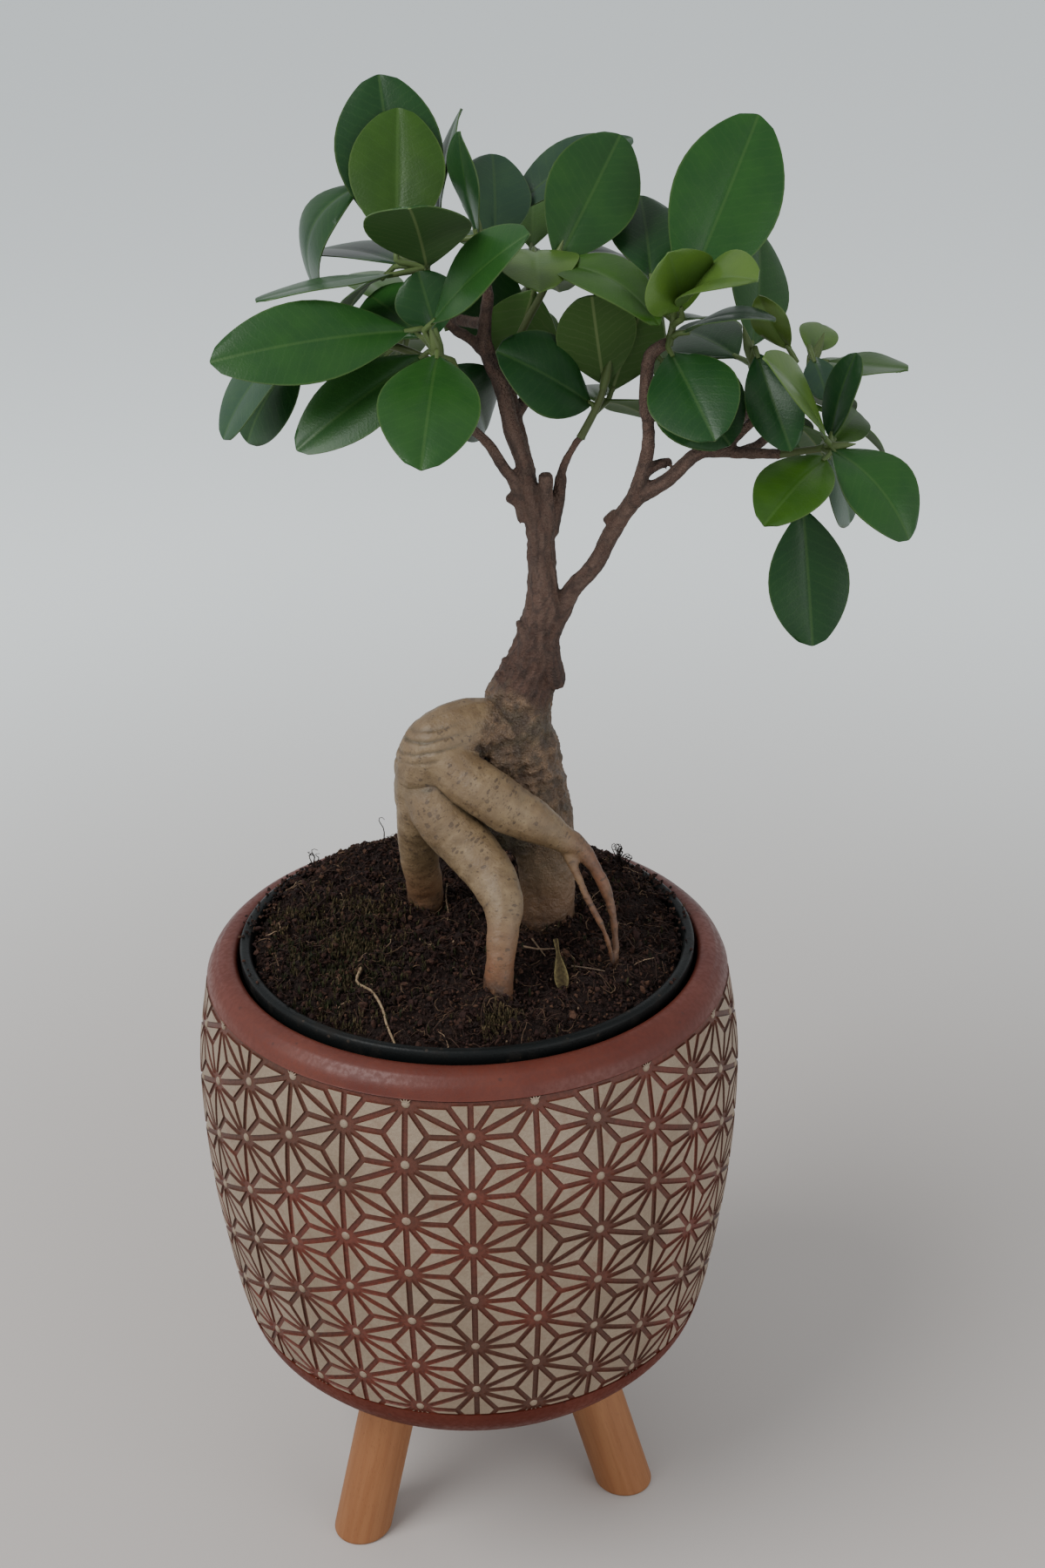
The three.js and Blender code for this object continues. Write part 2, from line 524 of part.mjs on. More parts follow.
shoot("shoot_right_upper", [[71.4, -8, 317.6], [70, -8, 324], [68, -8, 331]], [
  leaf([70, 4, 330], [73, 22, 354], 20, [0.6, -0.8, 0.2], 0.05, 0.1),
  leaf([77, -8, 332], [69, -10, 345], 9, [-0.6, -0.4, 0.6], 0.08, 0.1),
  leaf([66, -2, 329], [54, 20, 331], 18, [0, -0.6, 0.8], 0.05, 0.1),
  leaf([69, -11, 332], [76, -24, 312], 13, [-0.2, -0.9, 0.4], 0.05, 0.1),
], leafGreen);

shoot("shoot_right_end", [[75.6, -10.6, 308], [80, -12, 309], [86, -13, 310]], [
  leaf([85, -17, 313], [67, -33, 336], 16, [0.6, -0.4, 0.7], 0.05, 0.2),
  leaf([87, -12, 312], [93, -7, 331], 13, [-0.8, -0.35, 0.3], 0.05, 0.1),
  leaf([87, -14, 310], [104, -26, 291], 20, [0.4, -0.75, 0.5], 0.15, 0.1),
  leaf([89, -4, 309], [98, 12, 312], 11, [0, -0.8, 0.6], 0.05, 0.1),
  leaf([85, -18, 309], [68, -38, 299], 17, [-0.3, -0.7, 0.6], 0.05, 0.25),
  leaf([81, -14, 296], [84, -20, 263], 19.5, [0, -1, 0.2], 0.03, 0.1),
  leaf([88, -4, 306], [96, 4, 286], 15, [0.6, -0.6, 0.3], 0.05, 0.1),
], leafGreen);

shoot("shoot_right_back", [[79, 4, 312.6], [84, 10, 319], [87, 14, 325]], [
  leaf([89, 14, 324], [108, 4, 324], 17, [0, -0.1, 1], 0, 0.1),
  leaf([86, 14, 326], [91, 28, 330], 10, [0, -0.8, 0.6], 0.05, 0.15),
  leaf([85, 6, 327], [88, -1, 318], 9, [0.1, -0.85, 0.5], 0.05, 0.1),
], youngGreen);

// ---- shoots on the far side, where leaves are set round the stem by rule ----
const FAR_LEAVES = 6;
const GOLDEN_SHARE = 0.618;

// turnFrom and turnTo are degrees round the shoot: 0 is straight back, 90 is right.
// The lowest leaf points up at riseFrom degrees and the highest at riseTo.
function farShoot(name, stem, size, [turnFrom, turnTo], [riseFrom, riseTo]) {
  const end = new THREE.Vector3(...stem.at(-1));
  const leaves = [];
  for (let k = 0; k < FAR_LEAVES; k += 1) {
    const share = ((k + 1) * GOLDEN_SHARE) % 1;
    const turn = THREE.MathUtils.degToRad(THREE.MathUtils.lerp(turnFrom, turnTo, share));
    const step = k / (FAR_LEAVES - 1);
    const rise = THREE.MathUtils.degToRad(THREE.MathUtils.lerp(riseFrom, riseTo, step));
    const outwards = new THREE.Vector3(
      Math.sin(turn) * Math.cos(rise), Math.cos(turn) * Math.cos(rise), Math.sin(rise));
    const foot = end.clone().add(new THREE.Vector3(0, 0, -4 + 6 * step));
    const base = foot.clone().addScaledVector(outwards, 8);
    const length = size * (0.86 + 0.14 * Math.cos(2.4 * k));
    const tip = base.clone().addScaledVector(outwards, length);
    const face = [-Math.sin(turn) * Math.sin(rise), -Math.cos(turn) * Math.sin(rise), Math.cos(rise)];
    leaves.push(leaf(base.toArray(), tip.toArray(), length * 0.54, face, 0.07, 0.12));
  }
  shoot(name, stem, leaves, leafGreen);
}

const FAR_LEAF_LENGTH = 33;
farShoot("shoot_back_left", [[-5.4, 25.6, 334], [-8, 29, 333], [-11, 32, 331]],
  FAR_LEAF_LENGTH - 1, [-100, 5], [-50, 5]);
farShoot("shoot_back_middle", [[18.2, 28.6, 333.4], [18.5, 32, 338], [19, 34, 342]],
  FAR_LEAF_LENGTH, [-45, 25], [-40, 24]);
farShoot("shoot_back_centre", [[49, 24.6, 331.4], [50, 27, 333], [51, 29, 334]],
  FAR_LEAF_LENGTH, [-30, 50], [-40, 20]);
farShoot("shoot_back_right", [[77.4, 22.6, 315.2], [79, 26, 315], [82, 29, 315]],
  FAR_LEAF_LENGTH - 1, [-5, 85], [-50, -6]);

// ---- the origin: middle of the footprint, on the standing surface ----
const box = new THREE.Box3().setFromObject(plant);
plant.position.set(-(box.min.x + box.max.x) / 2, -(box.min.y + box.max.y) / 2, -box.min.z);

export default plant;
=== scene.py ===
# %% [markdown]
# # A ficus bonsai in a patterned pot
# This lesson dresses a plain CAD model of a small potted tree until it looks alive. The
# model comes first: it fixes every size and place.
# Lengths are written in millimetres from the pots' axis, because that is how such a plant
# is measured, and one helper turns them into the metres of the scene.

# %% Load the CAD model and find the pots' axis
import math
import random

import bpy
import numpy as np
from mathutils import Matrix, Vector, noise


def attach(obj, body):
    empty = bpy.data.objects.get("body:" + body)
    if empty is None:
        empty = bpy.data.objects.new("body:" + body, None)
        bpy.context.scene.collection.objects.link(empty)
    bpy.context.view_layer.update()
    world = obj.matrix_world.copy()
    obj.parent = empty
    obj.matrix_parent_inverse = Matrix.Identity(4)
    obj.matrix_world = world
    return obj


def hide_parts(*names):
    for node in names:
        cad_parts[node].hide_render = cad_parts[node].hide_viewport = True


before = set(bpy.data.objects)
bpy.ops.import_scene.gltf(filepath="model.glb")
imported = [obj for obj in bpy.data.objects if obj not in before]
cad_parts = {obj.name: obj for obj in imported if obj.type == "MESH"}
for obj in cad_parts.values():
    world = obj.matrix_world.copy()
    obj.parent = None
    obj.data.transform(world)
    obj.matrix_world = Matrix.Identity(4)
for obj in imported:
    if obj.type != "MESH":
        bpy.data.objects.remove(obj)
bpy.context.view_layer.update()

MM = 0.001
outer_pot = bpy.data.objects["outer_pot"]
corners = [outer_pot.matrix_world @ corner.co for corner in outer_pot.data.vertices]
lip_z = max(corner.z for corner in corners)
lip_ring = [corner.x for corner in corners if corner.z > lip_z - 0.05 * MM]
AXIS_X = sum(lip_ring) / len(lip_ring)  # the lip's corners stand evenly round the axis
AXIS = np.array((AXIS_X / MM, 0, 0))


def at(x, y, z):
    """A place in millimetres from the pots' axis, as metres in the scene."""
    return Vector((AXIS_X + x * MM, y * MM, z * MM))


print("nodes:", len(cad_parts), "axis of the pots at x =", round(AXIS_X, 5))

# %% [markdown]
# ## Working by hand, in code
# Blender's operators act on whatever is selected, so each step begins by selecting one
# piece only. These few helpers keep that in one place. Points are read and written as
# arrays, which is how a whole surface can be moved by a formula at once.

# %% Helpers for selecting and editing


def only(piece):
    """Selects one piece and makes it the active one."""
    bpy.ops.object.select_all(action="DESELECT")
    piece.select_set(True)
    bpy.context.view_layer.objects.active = piece
    return piece


def added(name):
    """Names the primitive that was just added."""
    piece = bpy.context.object
    piece.name = piece.data.name = name
    return piece


def edit(piece, select="SELECT"):
    only(piece)
    bpy.ops.object.mode_set(mode="EDIT")
    bpy.ops.mesh.select_all(action=select)


def leave_edit():
    bpy.ops.object.mode_set(mode="OBJECT")


def choose(piece, wanted):
    """Selects the faces for which wanted(face) is true. Works in object mode."""
    leave_edit()
    for part in (piece.data.vertices, piece.data.edges):
        part.foreach_set("select", [False] * len(part))
    for face in piece.data.polygons:
        face.select = bool(wanted(face))
    bpy.ops.object.mode_set(mode="EDIT")


def apply_modifier(piece, kind, **settings):
    only(piece)
    modifier = piece.modifiers.new(kind.lower(), kind)
    for key, value in settings.items():
        setattr(modifier, key, value)
    bpy.ops.object.modifier_apply(modifier=modifier.name)


def fix_place(piece):
    """Moves an object's place into its mesh."""
    only(piece)
    bpy.ops.object.transform_apply(location=True, rotation=True, scale=True)


# %% Helpers for points, attributes and new pieces


def points_of(piece):
    points = np.empty(len(piece.data.vertices) * 3)
    piece.data.vertices.foreach_get("co", points)
    return points.reshape(-1, 3)


def set_points(piece, points):
    piece.data.vertices.foreach_set("co", np.asarray(points, float).ravel())
    piece.data.update()


def set_attribute(piece, name, values):
    """Stores one number or one vector for each point, for a material to read."""
    values = np.asarray(values, float)
    kind = "FLOAT" if values.ndim == 1 else "FLOAT_VECTOR"
    made = piece.data.attributes.new(name, kind, "POINT")
    made.data.foreach_set("value" if values.ndim == 1 else "vector", values.ravel())


def mesh_piece(name, points, faces):
    """A piece from arrays, for shapes that are copied or follow a formula."""
    mesh = bpy.data.meshes.new(name)
    mesh.from_pydata([tuple(p) for p in points], [], [tuple(f) for f in faces])
    piece = bpy.data.objects.new(name, mesh)
    bpy.context.collection.objects.link(piece)
    return piece


# %% Helpers for finishing, and for noise


def smooth(piece, degrees=40):
    only(piece)
    bpy.ops.object.shade_smooth_by_angle(angle=math.radians(degrees))


def dress(piece, slot, nodes, *materials):
    """Gives a finished piece its materials and its body, and hides the nodes it stands for. The slot is not
    used.
    """
    if materials:
        piece.data.materials.clear()
        for material in materials:
            piece.data.materials.append(material)
    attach(piece, "root")
    if nodes:
        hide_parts(*nodes)
    print(piece.name, len(piece.data.polygons), "faces")


def smoothstep(low, high, value):
    share = np.clip((np.asarray(value, float) - low) / (high - low), 0, 1)
    return share * share * (3 - 2 * share)


def noise_at(points, size, seed=0.0):
    """Smooth noise from -1 to 1 at each point, with lumps of about the given size."""
    shift = Vector((seed, 2 * seed, -seed))
    return np.array([noise.noise(Vector(p) / size + shift) for p in points])


print("helpers ready")

# %% [markdown]
# ## The camera
# The photographer stood close and looked down on the plant. The place and the tilt were
# worked out from the pot's rim and pattern. The turn is built from three directions, to
# the right, up and backwards, which are the columns of the camera's matrix.

# %% Place the camera
CAMERA_PLACE = (0, -467, 434)
LENS = 46.04
PITCH, YAW, ROLL = (math.radians(a) for a in (24.64, 1.83, -0.49))
ahead = Vector((math.sin(YAW) * math.cos(PITCH), math.cos(YAW) * math.cos(PITCH), -math.sin(PITCH)))
level = Vector((math.cos(YAW), -math.sin(YAW), 0))
upright = level.cross(ahead)
right = math.cos(ROLL) * level + math.sin(ROLL) * upright
above = math.cos(ROLL) * upright - math.sin(ROLL) * level
bpy.ops.object.camera_add()
camera = added("camera")
turn = Matrix((right, above, -ahead)).transposed().to_4x4()
camera.matrix_world = Matrix.Translation(at(*CAMERA_PLACE)) @ turn
camera.data.lens = LENS
camera.data.sensor_width = 36
camera.data.clip_start = 0.01
camera.data.clip_end = 100
bpy.context.scene.camera = camera
print("camera at", [round(v, 3) for v in camera.matrix_world.translation])

# %% [markdown]
# ## Materials: helpers and shared effects
# Every finish is made of nodes. A small helper adds a node and wires it in one line. Two
# effects come back in many finishes, so each is a node group with named sockets: mottling
# is the soft unevenness of colour that all real surfaces have, and specks are the small
# scattered marks of bark, dust and clay. A finish is then built as a painter would: one
# base colour, and thin layers over it, each with its own mask.

# %% Node helpers


def add_node(tree, kind, inputs=None, **settings):
    made = tree.nodes.new("ShaderNode" + kind)
    for key, value in settings.items():
        setattr(made, key, value)
    for key, value in (inputs or {}).items():
        if isinstance(value, bpy.types.NodeSocket):
            tree.links.new(value, made.inputs[key])
        else:
            made.inputs[key].default_value = value
    return made


def mix(tree, factor, first, second, blend="MIX"):
    made = add_node(tree, "Mix", data_type="RGBA", blend_type=blend)
    for number, value in ((0, factor), (6, first), (7, second)):
        socket = made.inputs[number]
        if isinstance(value, bpy.types.NodeSocket):
            tree.links.new(value, socket)
        else:
            socket.default_value = (*value, 1) if isinstance(value, tuple) else value
    return made.outputs[2]


def math_node(tree, operation, first, second=0.0):
    return add_node(tree, "Math", {0: first, 1: second}, operation=operation).outputs[0]


def layered(tree, base, *layers):
    """Lays colours over a base. A layer is its mask, how much of it shows, and its colour."""
    for mask, share, laid in layers:
        base = mix(tree, math_node(tree, "MULTIPLY", mask, share), base, laid)
    return base


def ramp(tree, value, low, high, out_low=0.0, out_high=1.0):
    made = add_node(tree, "MapRange", {"Value": value, "From Min": low, "From Max": high,
                                       "To Min": out_low, "To Max": out_high},
                    interpolation_type="SMOOTHSTEP")
    return made.outputs["Result"]


# %% Helpers for what a material reads


def attribute(tree, name, output="Vector"):
    return add_node(tree, "Attribute", attribute_name=name).outputs[output]


def attribute_parts(tree, name):
    return add_node(tree, "SeparateXYZ", {0: attribute(tree, name)}).outputs


def object_place(tree):
    return add_node(tree, "TexCoord").outputs["Object"]


def object_height(tree):
    return add_node(tree, "SeparateXYZ", {0: object_place(tree)}).outputs[2]


def stretched(tree, place, scale):
    return add_node(tree, "Mapping", {"Vector": place, "Scale": scale}).outputs[0]


# %% Helpers for groups and materials


def new_group(name, inputs, outputs):
    group = bpy.data.node_groups.new(name, "ShaderNodeTree")
    for key, kind in inputs:
        group.interface.new_socket(key, in_out="INPUT", socket_type="NodeSocket" + kind)
    for key, kind in outputs:
        group.interface.new_socket(key, in_out="OUTPUT", socket_type="NodeSocket" + kind)
    return group, group.nodes.new("NodeGroupInput").outputs, group.nodes.new("NodeGroupOutput")


def use_group(tree, group, **inputs):
    made = tree.nodes.new("ShaderNodeGroup")
    made.node_tree = group
    for key, value in inputs.items():
        if isinstance(value, bpy.types.NodeSocket):
            tree.links.new(value, made.inputs[key])
        else:
            made.inputs[key].default_value = value
    return made.outputs


def new_material(name, roughness=0.5, **constants):
    material = bpy.data.materials.new(name)
    material.use_nodes = True
    tree = material.node_tree
    shader = tree.nodes["Principled BSDF"]
    shader.inputs["Roughness"].default_value = roughness
    for key, value in constants.items():
        shader.inputs[key.replace("_", " ")].default_value = value
    return material, tree, shader


def colour(tree, shader, socket):
    tree.links.new(socket, shader.inputs["Base Color"])


def relief(tree, shader, height, depth):
    """Bump from a height of 0 to 1 that stands for a real depth in millimetres."""
    bump = add_node(tree, "Bump", {"Height": height, "Distance": depth * MM})
    tree.links.new(bump.outputs[0], shader.inputs["Normal"])


# %% Shared effects: mottling and specks
mottle, given, out = new_group("mottle", [("Place", "Vector"), ("Size", "Float"), ("Low", "Float"),
                                          ("High", "Float")], [("Mask", "Float")])
scale = math_node(mottle, "DIVIDE", 1.0, given["Size"])
cloud = add_node(mottle, "TexNoise", {"Vector": given["Place"], "Scale": scale, "Detail": 4.0})
soft = add_node(mottle, "MapRange", {"Value": cloud.outputs[0], "From Min": given["Low"],
                                     "From Max": given["High"]}, interpolation_type="SMOOTHSTEP")
mottle.links.new(soft.outputs[0], out.inputs["Mask"])

specks, given, out = new_group("specks", [("Place", "Vector"), ("Size", "Float"), ("Reach", "Float"),
                                          ("Share", "Float")], [("Mask", "Float")])
scale = math_node(specks, "DIVIDE", 1.0, given["Size"])
cells = add_node(specks, "TexVoronoi", {"Vector": given["Place"], "Scale": scale})
inside = math_node(specks, "LESS_THAN", cells.outputs["Distance"], given["Reach"])
picked = math_node(specks, "LESS_THAN",
                   add_node(specks, "SeparateColor", {0: cells.outputs["Color"]}).outputs[0], given["Share"])
specks.links.new(math_node(specks, "MULTIPLY", inside, picked), out.inputs["Mask"])


def masked(tree, group, size, place, **settings):
    """A group's mask. Its size is in millimetres, and so is a place of the piece's own."""
    if place is None:
        place, size = object_place(tree), size * MM
    return use_group(tree, group, Place=place, Size=size, **settings)[0]


def clouds(tree, size, low=0.3, high=0.7, place=None):
    return masked(tree, mottle, size, place, Low=low, High=high)


def scattered(tree, size, reach, share, place=None):
    return masked(tree, specks, size, place, Reach=reach, Share=share)


print("groups:", mottle.name, specks.name)

# %% [markdown]
# ## The legs
# The legs are turned beech dowels, splayed outwards, with the lower edge rounded a little.
# A cylinder is tilted, then bisect cuts it level with the table and again inside the pot's
# base, as a saw would. The grain has to run along each leg, so every point also keeps its
# place in the leg's own directions, and the wood's material reads that.

# %% Beech
LEG_ANGLES = (-48.7, 71.3, 191.3)
LEG_SPLAY = math.radians(17)
LEG_RADIUS = 8
LEG_FOOT_RADIUS = 45
LEG_SOCKET_Z = 64.5
LEG_LENGTH = 100
LEG_BELOW_FLOOR = 10  # what the saw takes off

beech, tree, shader = new_material("beech", 0.55, Specular_IOR_Level=0.35)
leg_place = attribute(tree, "along_leg")
along_fibres = stretched(tree, leg_place, (1.0, 1.0, 0.05))
streaks = clouds(tree, 1.3, 0.35, 0.66, along_fibres)
rays = scattered(tree, 1.0, 0.24, 0.5, stretched(tree, leg_place, (2.4, 2.4, 0.5)))
timber = mix(tree, clouds(tree, 6.0, place=along_fibres), (0.242, 0.100, 0.038), (0.298, 0.137, 0.057))
timber = layered(tree, timber, (streaks, 0.35, (0.190, 0.066, 0.022)), (rays, 0.22, (0.160, 0.058, 0.022)))
colour(tree, shader, timber)
relief(tree, shader, math_node(tree, "ADD", streaks, rays), 0.05)
print("beech:", len(tree.nodes), "nodes")

# %% Turn, tilt and cut the three legs


def build_leg(number, degrees):
    angle = math.radians(degrees)
    outwards = Vector((math.sin(angle), -math.cos(angle), 0))
    axis = outwards * -math.sin(LEG_SPLAY) + Vector((0, 0, math.cos(LEG_SPLAY)))
    sole = at(*(outwards * LEG_FOOT_RADIUS))
    bpy.ops.mesh.primitive_cylinder_add(vertices=48, radius=LEG_RADIUS * MM, depth=LEG_LENGTH * MM)
    leg = added(f"dowel_leg_{number}")
    leg.rotation_euler = axis.to_track_quat("Z", "Y").to_euler()
    leg.location = sole + axis * (LEG_LENGTH / 2 - LEG_BELOW_FLOOR) * MM
    fix_place(leg)
    for height, keep_above in ((0, True), (LEG_SOCKET_Z * MM, False)):
        edit(leg)
        bpy.ops.mesh.bisect(plane_co=(0, 0, height), plane_no=(0, 0, 1), use_fill=True,
                            clear_inner=keep_above, clear_outer=not keep_above)
        leave_edit()
    choose(leg, lambda face: face.normal.z < -0.9)
    bpy.ops.mesh.bevel(offset=1.1 * MM, segments=4, profile=0.6, affect="EDGES")
    bpy.ops.mesh.select_all(action="SELECT")
    bpy.ops.mesh.bisect(plane_co=sole + Vector((0, 0, 30 * MM)), plane_no=(0, 0, 1))
    leave_edit()
    across = axis.cross(Vector((0, 0, 1))).normalized()
    turned = Matrix((across, axis.cross(across), axis))
    places = (points_of(leg) - np.array(sole)) @ np.array(turned).T / MM
    set_attribute(leg, "along_leg", places + 40.0 * number)
    smooth(leg)
    dress(leg, "leg_wood", [f"leg_{number}"], beech)


for number, degrees in enumerate(LEG_ANGLES, 1):
    build_leg(number, degrees)

# %% [markdown]
# ## The outer pot: shape
# The pot is bellied, with a thick rounded lip. Its outline is drawn once and spun round
# the axis. The outline below is the CAD's, so the two agree; a smooth curve goes through
# it. Where the pattern will lie, the wall steps back by the depth of the relief, so that
# the tops of the tiles end up at the pot's true size.

# %% The pot's outline
POT_OUTSIDE = [(60.6, 61.7), (64, 66.1), (66.4, 74), (68.9, 88.7), (71.8, 111.3), (72.9, 132),
               (72.6, 148), (70.2, 164), (69, 169.8), (67.9, 172.1), (66.2, 173.8)]
POT_LIP = [(64, 174.8), (62, 174.9), (61, 174.2), (60.6, 172), (61.6, 164.9)]
POT_INSIDE = [(66.9, 139), (65.8, 111), (62.9, 89), (59, 76), (54, 68.5)]
POT_BASE_Z = 60.5
POT_FLOOR_Z = 68.5
POT_SIDES = 168
ROUND_SHARE = 0.9963  # a true circle inside the CAD's many-sided one
COLUMNS = 28  # columns of stars round the pot
PATTERN_TOP_Z = 168.06  # height of the first row of stars
ROW_STEP = 7.94  # half the distance between stars in a column
PATTERN_ROWS = (-0.12, 12.3)  # where the pattern starts and ends, in row steps
GROOVE = 0.5  # depth of the grooves


def catmull(points, share):
    """A place on the smooth curve through some points, with share from 0 to 1."""
    points = [Vector(p) for p in points]
    place = share * (len(points) - 1)
    i = min(int(place), len(points) - 2)
    t = place - i
    b, c = points[i], points[i + 1]
    a = points[i - 1] if i > 0 else 2 * b - c
    d = points[i + 2] if i + 2 < len(points) else 2 * c - b
    first, second, third = (max((q - p).length, 1e-9) ** 0.5 for p, q in ((a, b), (b, c), (c, d)))
    start = ((b - a) / first - (c - a) / (first + second) + (c - b) / second) * second
    end = ((c - b) / second - (d - b) / (second + third) + (d - c) / third) * second
    return b + start * t + (3 * (c - b) - 2 * start - end) * t * t + (2 * (b - c) + start + end) * t ** 3


def curve_through(points, steps):
    return [catmull(points, i / steps) for i in range(steps + 1)]


wall = [Vector((p.x * ROUND_SHARE, p.y)) for p in curve_through(POT_OUTSIDE, 200)]
wall_z = np.array([p.y for p in wall])
wall_r = np.array([p.x for p in wall])
wall_length = np.concatenate([[0], np.cumsum(np.hypot(np.diff(wall_r), np.diff(wall_z)))])
first_row_length = np.interp(PATTERN_TOP_Z, wall_z, wall_length)


def wall_at(row):
    """Radius, height and outward direction of the wall at a row of the pattern."""
    length = first_row_length - np.asarray(row, float) * ROW_STEP
    radius = np.interp(length, wall_length, wall_r)
    height = np.interp(length, wall_length, wall_z)
    rise = np.interp(length + 0.5, wall_length, wall_z) - np.interp(length - 0.5, wall_length, wall_z)
    run = np.interp(length + 0.5, wall_length, wall_r) - np.interp(length - 0.5, wall_length, wall_r)
    size = np.hypot(rise, run)
    return radius, height, rise / size, -run / size


print("widest", round(wall_r.max(), 2), "length of the wall", round(wall_length[-1], 1))

# %% [markdown]
# ## The outer pot: spinning
# A circle's points are moved onto the cut section of the pot and spun once round. The
# section touches the axis, so the doubled points there are merged afterwards and the
# normals are made to agree.

# %% Spin the pot


def spin_section(name, section, sides):
    """Spins a closed section of (radius, height) pairs in millimetres round the axis."""
    bpy.ops.mesh.primitive_circle_add(vertices=len(section), radius=0.01)
    piece = added(name)
    set_points(piece, [at(r, 0, z) for r, z in section])
    edit(piece)
    bpy.ops.mesh.spin(steps=sides, angle=2 * math.pi, center=at(0, 0, 0), axis=(0, 0, 1))
    bpy.ops.mesh.select_all(action="SELECT")
    bpy.ops.mesh.remove_doubles(threshold=1e-6)
    bpy.ops.mesh.dissolve_degenerate(threshold=1e-7)
    bpy.ops.mesh.select_all(action="SELECT")
    bpy.ops.mesh.normals_make_consistent(inside=False)
    leave_edit()
    return piece


pattern_high, pattern_low = (float(wall_at(row)[1]) for row in PATTERN_ROWS)
section = [(0, POT_BASE_Z), (57.8, POT_BASE_Z), (59.6, POT_BASE_Z + 0.35)]
section += [(r, z) for r, z in zip(wall_r, wall_z) if z < pattern_low][::2]
section += [(float(np.interp(pattern_low, wall_z, wall_r)), pattern_low)]
behind = GROOVE + 0.3  # how far the wall steps back behind the tiles
under_pattern = [(r - behind, z) for r, z in zip(wall_r, wall_z)
                 if pattern_low + 0.1 < z < pattern_high - 0.1]
section += under_pattern[::5]
section += [(float(np.interp(pattern_high, wall_z, wall_r)) - behind, pattern_high + 0.1)]
section += [(float(np.interp(pattern_high, wall_z, wall_r)), pattern_high + 0.35)]
section += [(r, z) for r, z in zip(wall_r, wall_z) if z > pattern_high + 0.5]
section += [tuple(p) for p in curve_through([POT_OUTSIDE[-1]] + POT_LIP, 24)[1:]]
section += [tuple(p) for p in curve_through(POT_INSIDE, 16)] + [(0, POT_FLOOR_Z)]
pot = spin_section("pot_wall", section, POT_SIDES)
smooth(pot, 50)
print("pattern from", round(pattern_high, 1), "down to", round(pattern_low, 1))

# %% [markdown]
# ## The outer pot: the hemp-leaf pattern
# The relief is the old hemp-leaf pattern: stars of twelve rays, made of triangles that are
# each divided in three. It is made flat, as a potter's stamp would be. A grid has every
# second column moved down by half a step, so its quads split into equal triangles. Poke
# divides each in three, bisect trims the sheet at the bands, and two insets leave the
# groove and raise the tile. Last, the flat sheet is bent round the pot by a formula.

# %% Make the flat sheet of tiles
ARC = 2 * math.pi * 72.7 / COLUMNS
TURN_TO_FRONT = math.radians(-0.2)
TILE_GAP = 0.62  # from a tile's edge to the middle of the groove
ROW_PAIRS = 9
bpy.ops.mesh.primitive_grid_add(x_subdivisions=COLUMNS, y_subdivisions=ROW_PAIRS, size=2)
tiles = added("pot_tiles")
flat = points_of(tiles)
column = np.round((flat[:, 0] + 1) * COLUMNS / 2)
row = 14 - np.round((flat[:, 1] + 1) * ROW_PAIRS / 2) * 2 + np.where(column % 2 == 1, 0, 1)
flat = np.stack([column * ARC, -row * ROW_STEP, 0 * row], axis=1)
set_points(tiles, flat * MM)
edit(tiles)
bpy.ops.mesh.select_mode(type="FACE")
bpy.ops.mesh.quads_convert_to_tris(quad_method="SHORTEST_DIAGONAL")
bpy.ops.mesh.poke()
for row_line, above_line in ((PATTERN_ROWS[0], True), (PATTERN_ROWS[1], False)):
    bpy.ops.mesh.select_all(action="SELECT")
    bpy.ops.mesh.bisect(plane_co=(0, -row_line * ROW_STEP * MM, 0), plane_no=(0, 1, 0),
                        clear_outer=above_line, clear_inner=not above_line)
bpy.ops.mesh.select_all(action="SELECT")
bpy.ops.mesh.inset(thickness=TILE_GAP * MM, depth=0, use_individual=True)
bpy.ops.mesh.inset(thickness=0.16 * MM, depth=GROOVE * MM, use_individual=True)
leave_edit()
tops = [face.index for face in tiles.data.polygons if face.select]
for index in tops:
    tiles.data.polygons[index].material_index = 1
edit(tiles)
bpy.ops.mesh.quads_convert_to_tris()
bpy.ops.mesh.subdivide(number_cuts=2)
leave_edit()
tile_tops = sum(face.material_index for face in tiles.data.polygons)
print(len(tops), "tiles,", len(tiles.data.polygons), "faces,", tile_tops, "of them on top")

# %% Add a small boss at the middle of each star
bpy.ops.mesh.primitive_uv_sphere_add(segments=10, ring_count=6, radius=1.15 * MM)
boss = added("boss")
edit(boss)
bpy.ops.mesh.bisect(plane_co=(0, 0, 0), plane_no=(0, 0, 1), clear_inner=True)
leave_edit()
boss_points, boss_faces = points_of(boss) / MM, [tuple(f.vertices) for f in boss.data.polygons]
bpy.data.objects.remove(boss)
points, faces = [], []
for star_column in range(COLUMNS):
    for star_row in range(0 if star_column % 2 else 1, 13, 2):
        faces += [tuple(i + len(points) for i in face) for face in boss_faces]
        points += [(x + star_column * ARC, y - star_row * ROW_STEP, z * 0.43) for x, y, z in boss_points]
bosses = mesh_piece("pot_bosses", np.array(points) * MM, faces)
print(len(faces) // len(boss_faces), "bosses")

# %% Bend the sheet round the pot


def bend_round_pot(piece, sink):
    flat = points_of(piece) / MM
    radius, height, out_radial, out_height = wall_at(-flat[:, 1] / ROW_STEP)
    lift = flat[:, 2] - sink
    angle = flat[:, 0] / ARC * 2 * math.pi / COLUMNS + TURN_TO_FRONT
    radius, height = radius + lift * out_radial, height + lift * out_height
    bent = np.stack([AXIS_X / MM + radius * np.sin(angle), -radius * np.cos(angle), height], axis=1)
    set_points(piece, bent * MM)


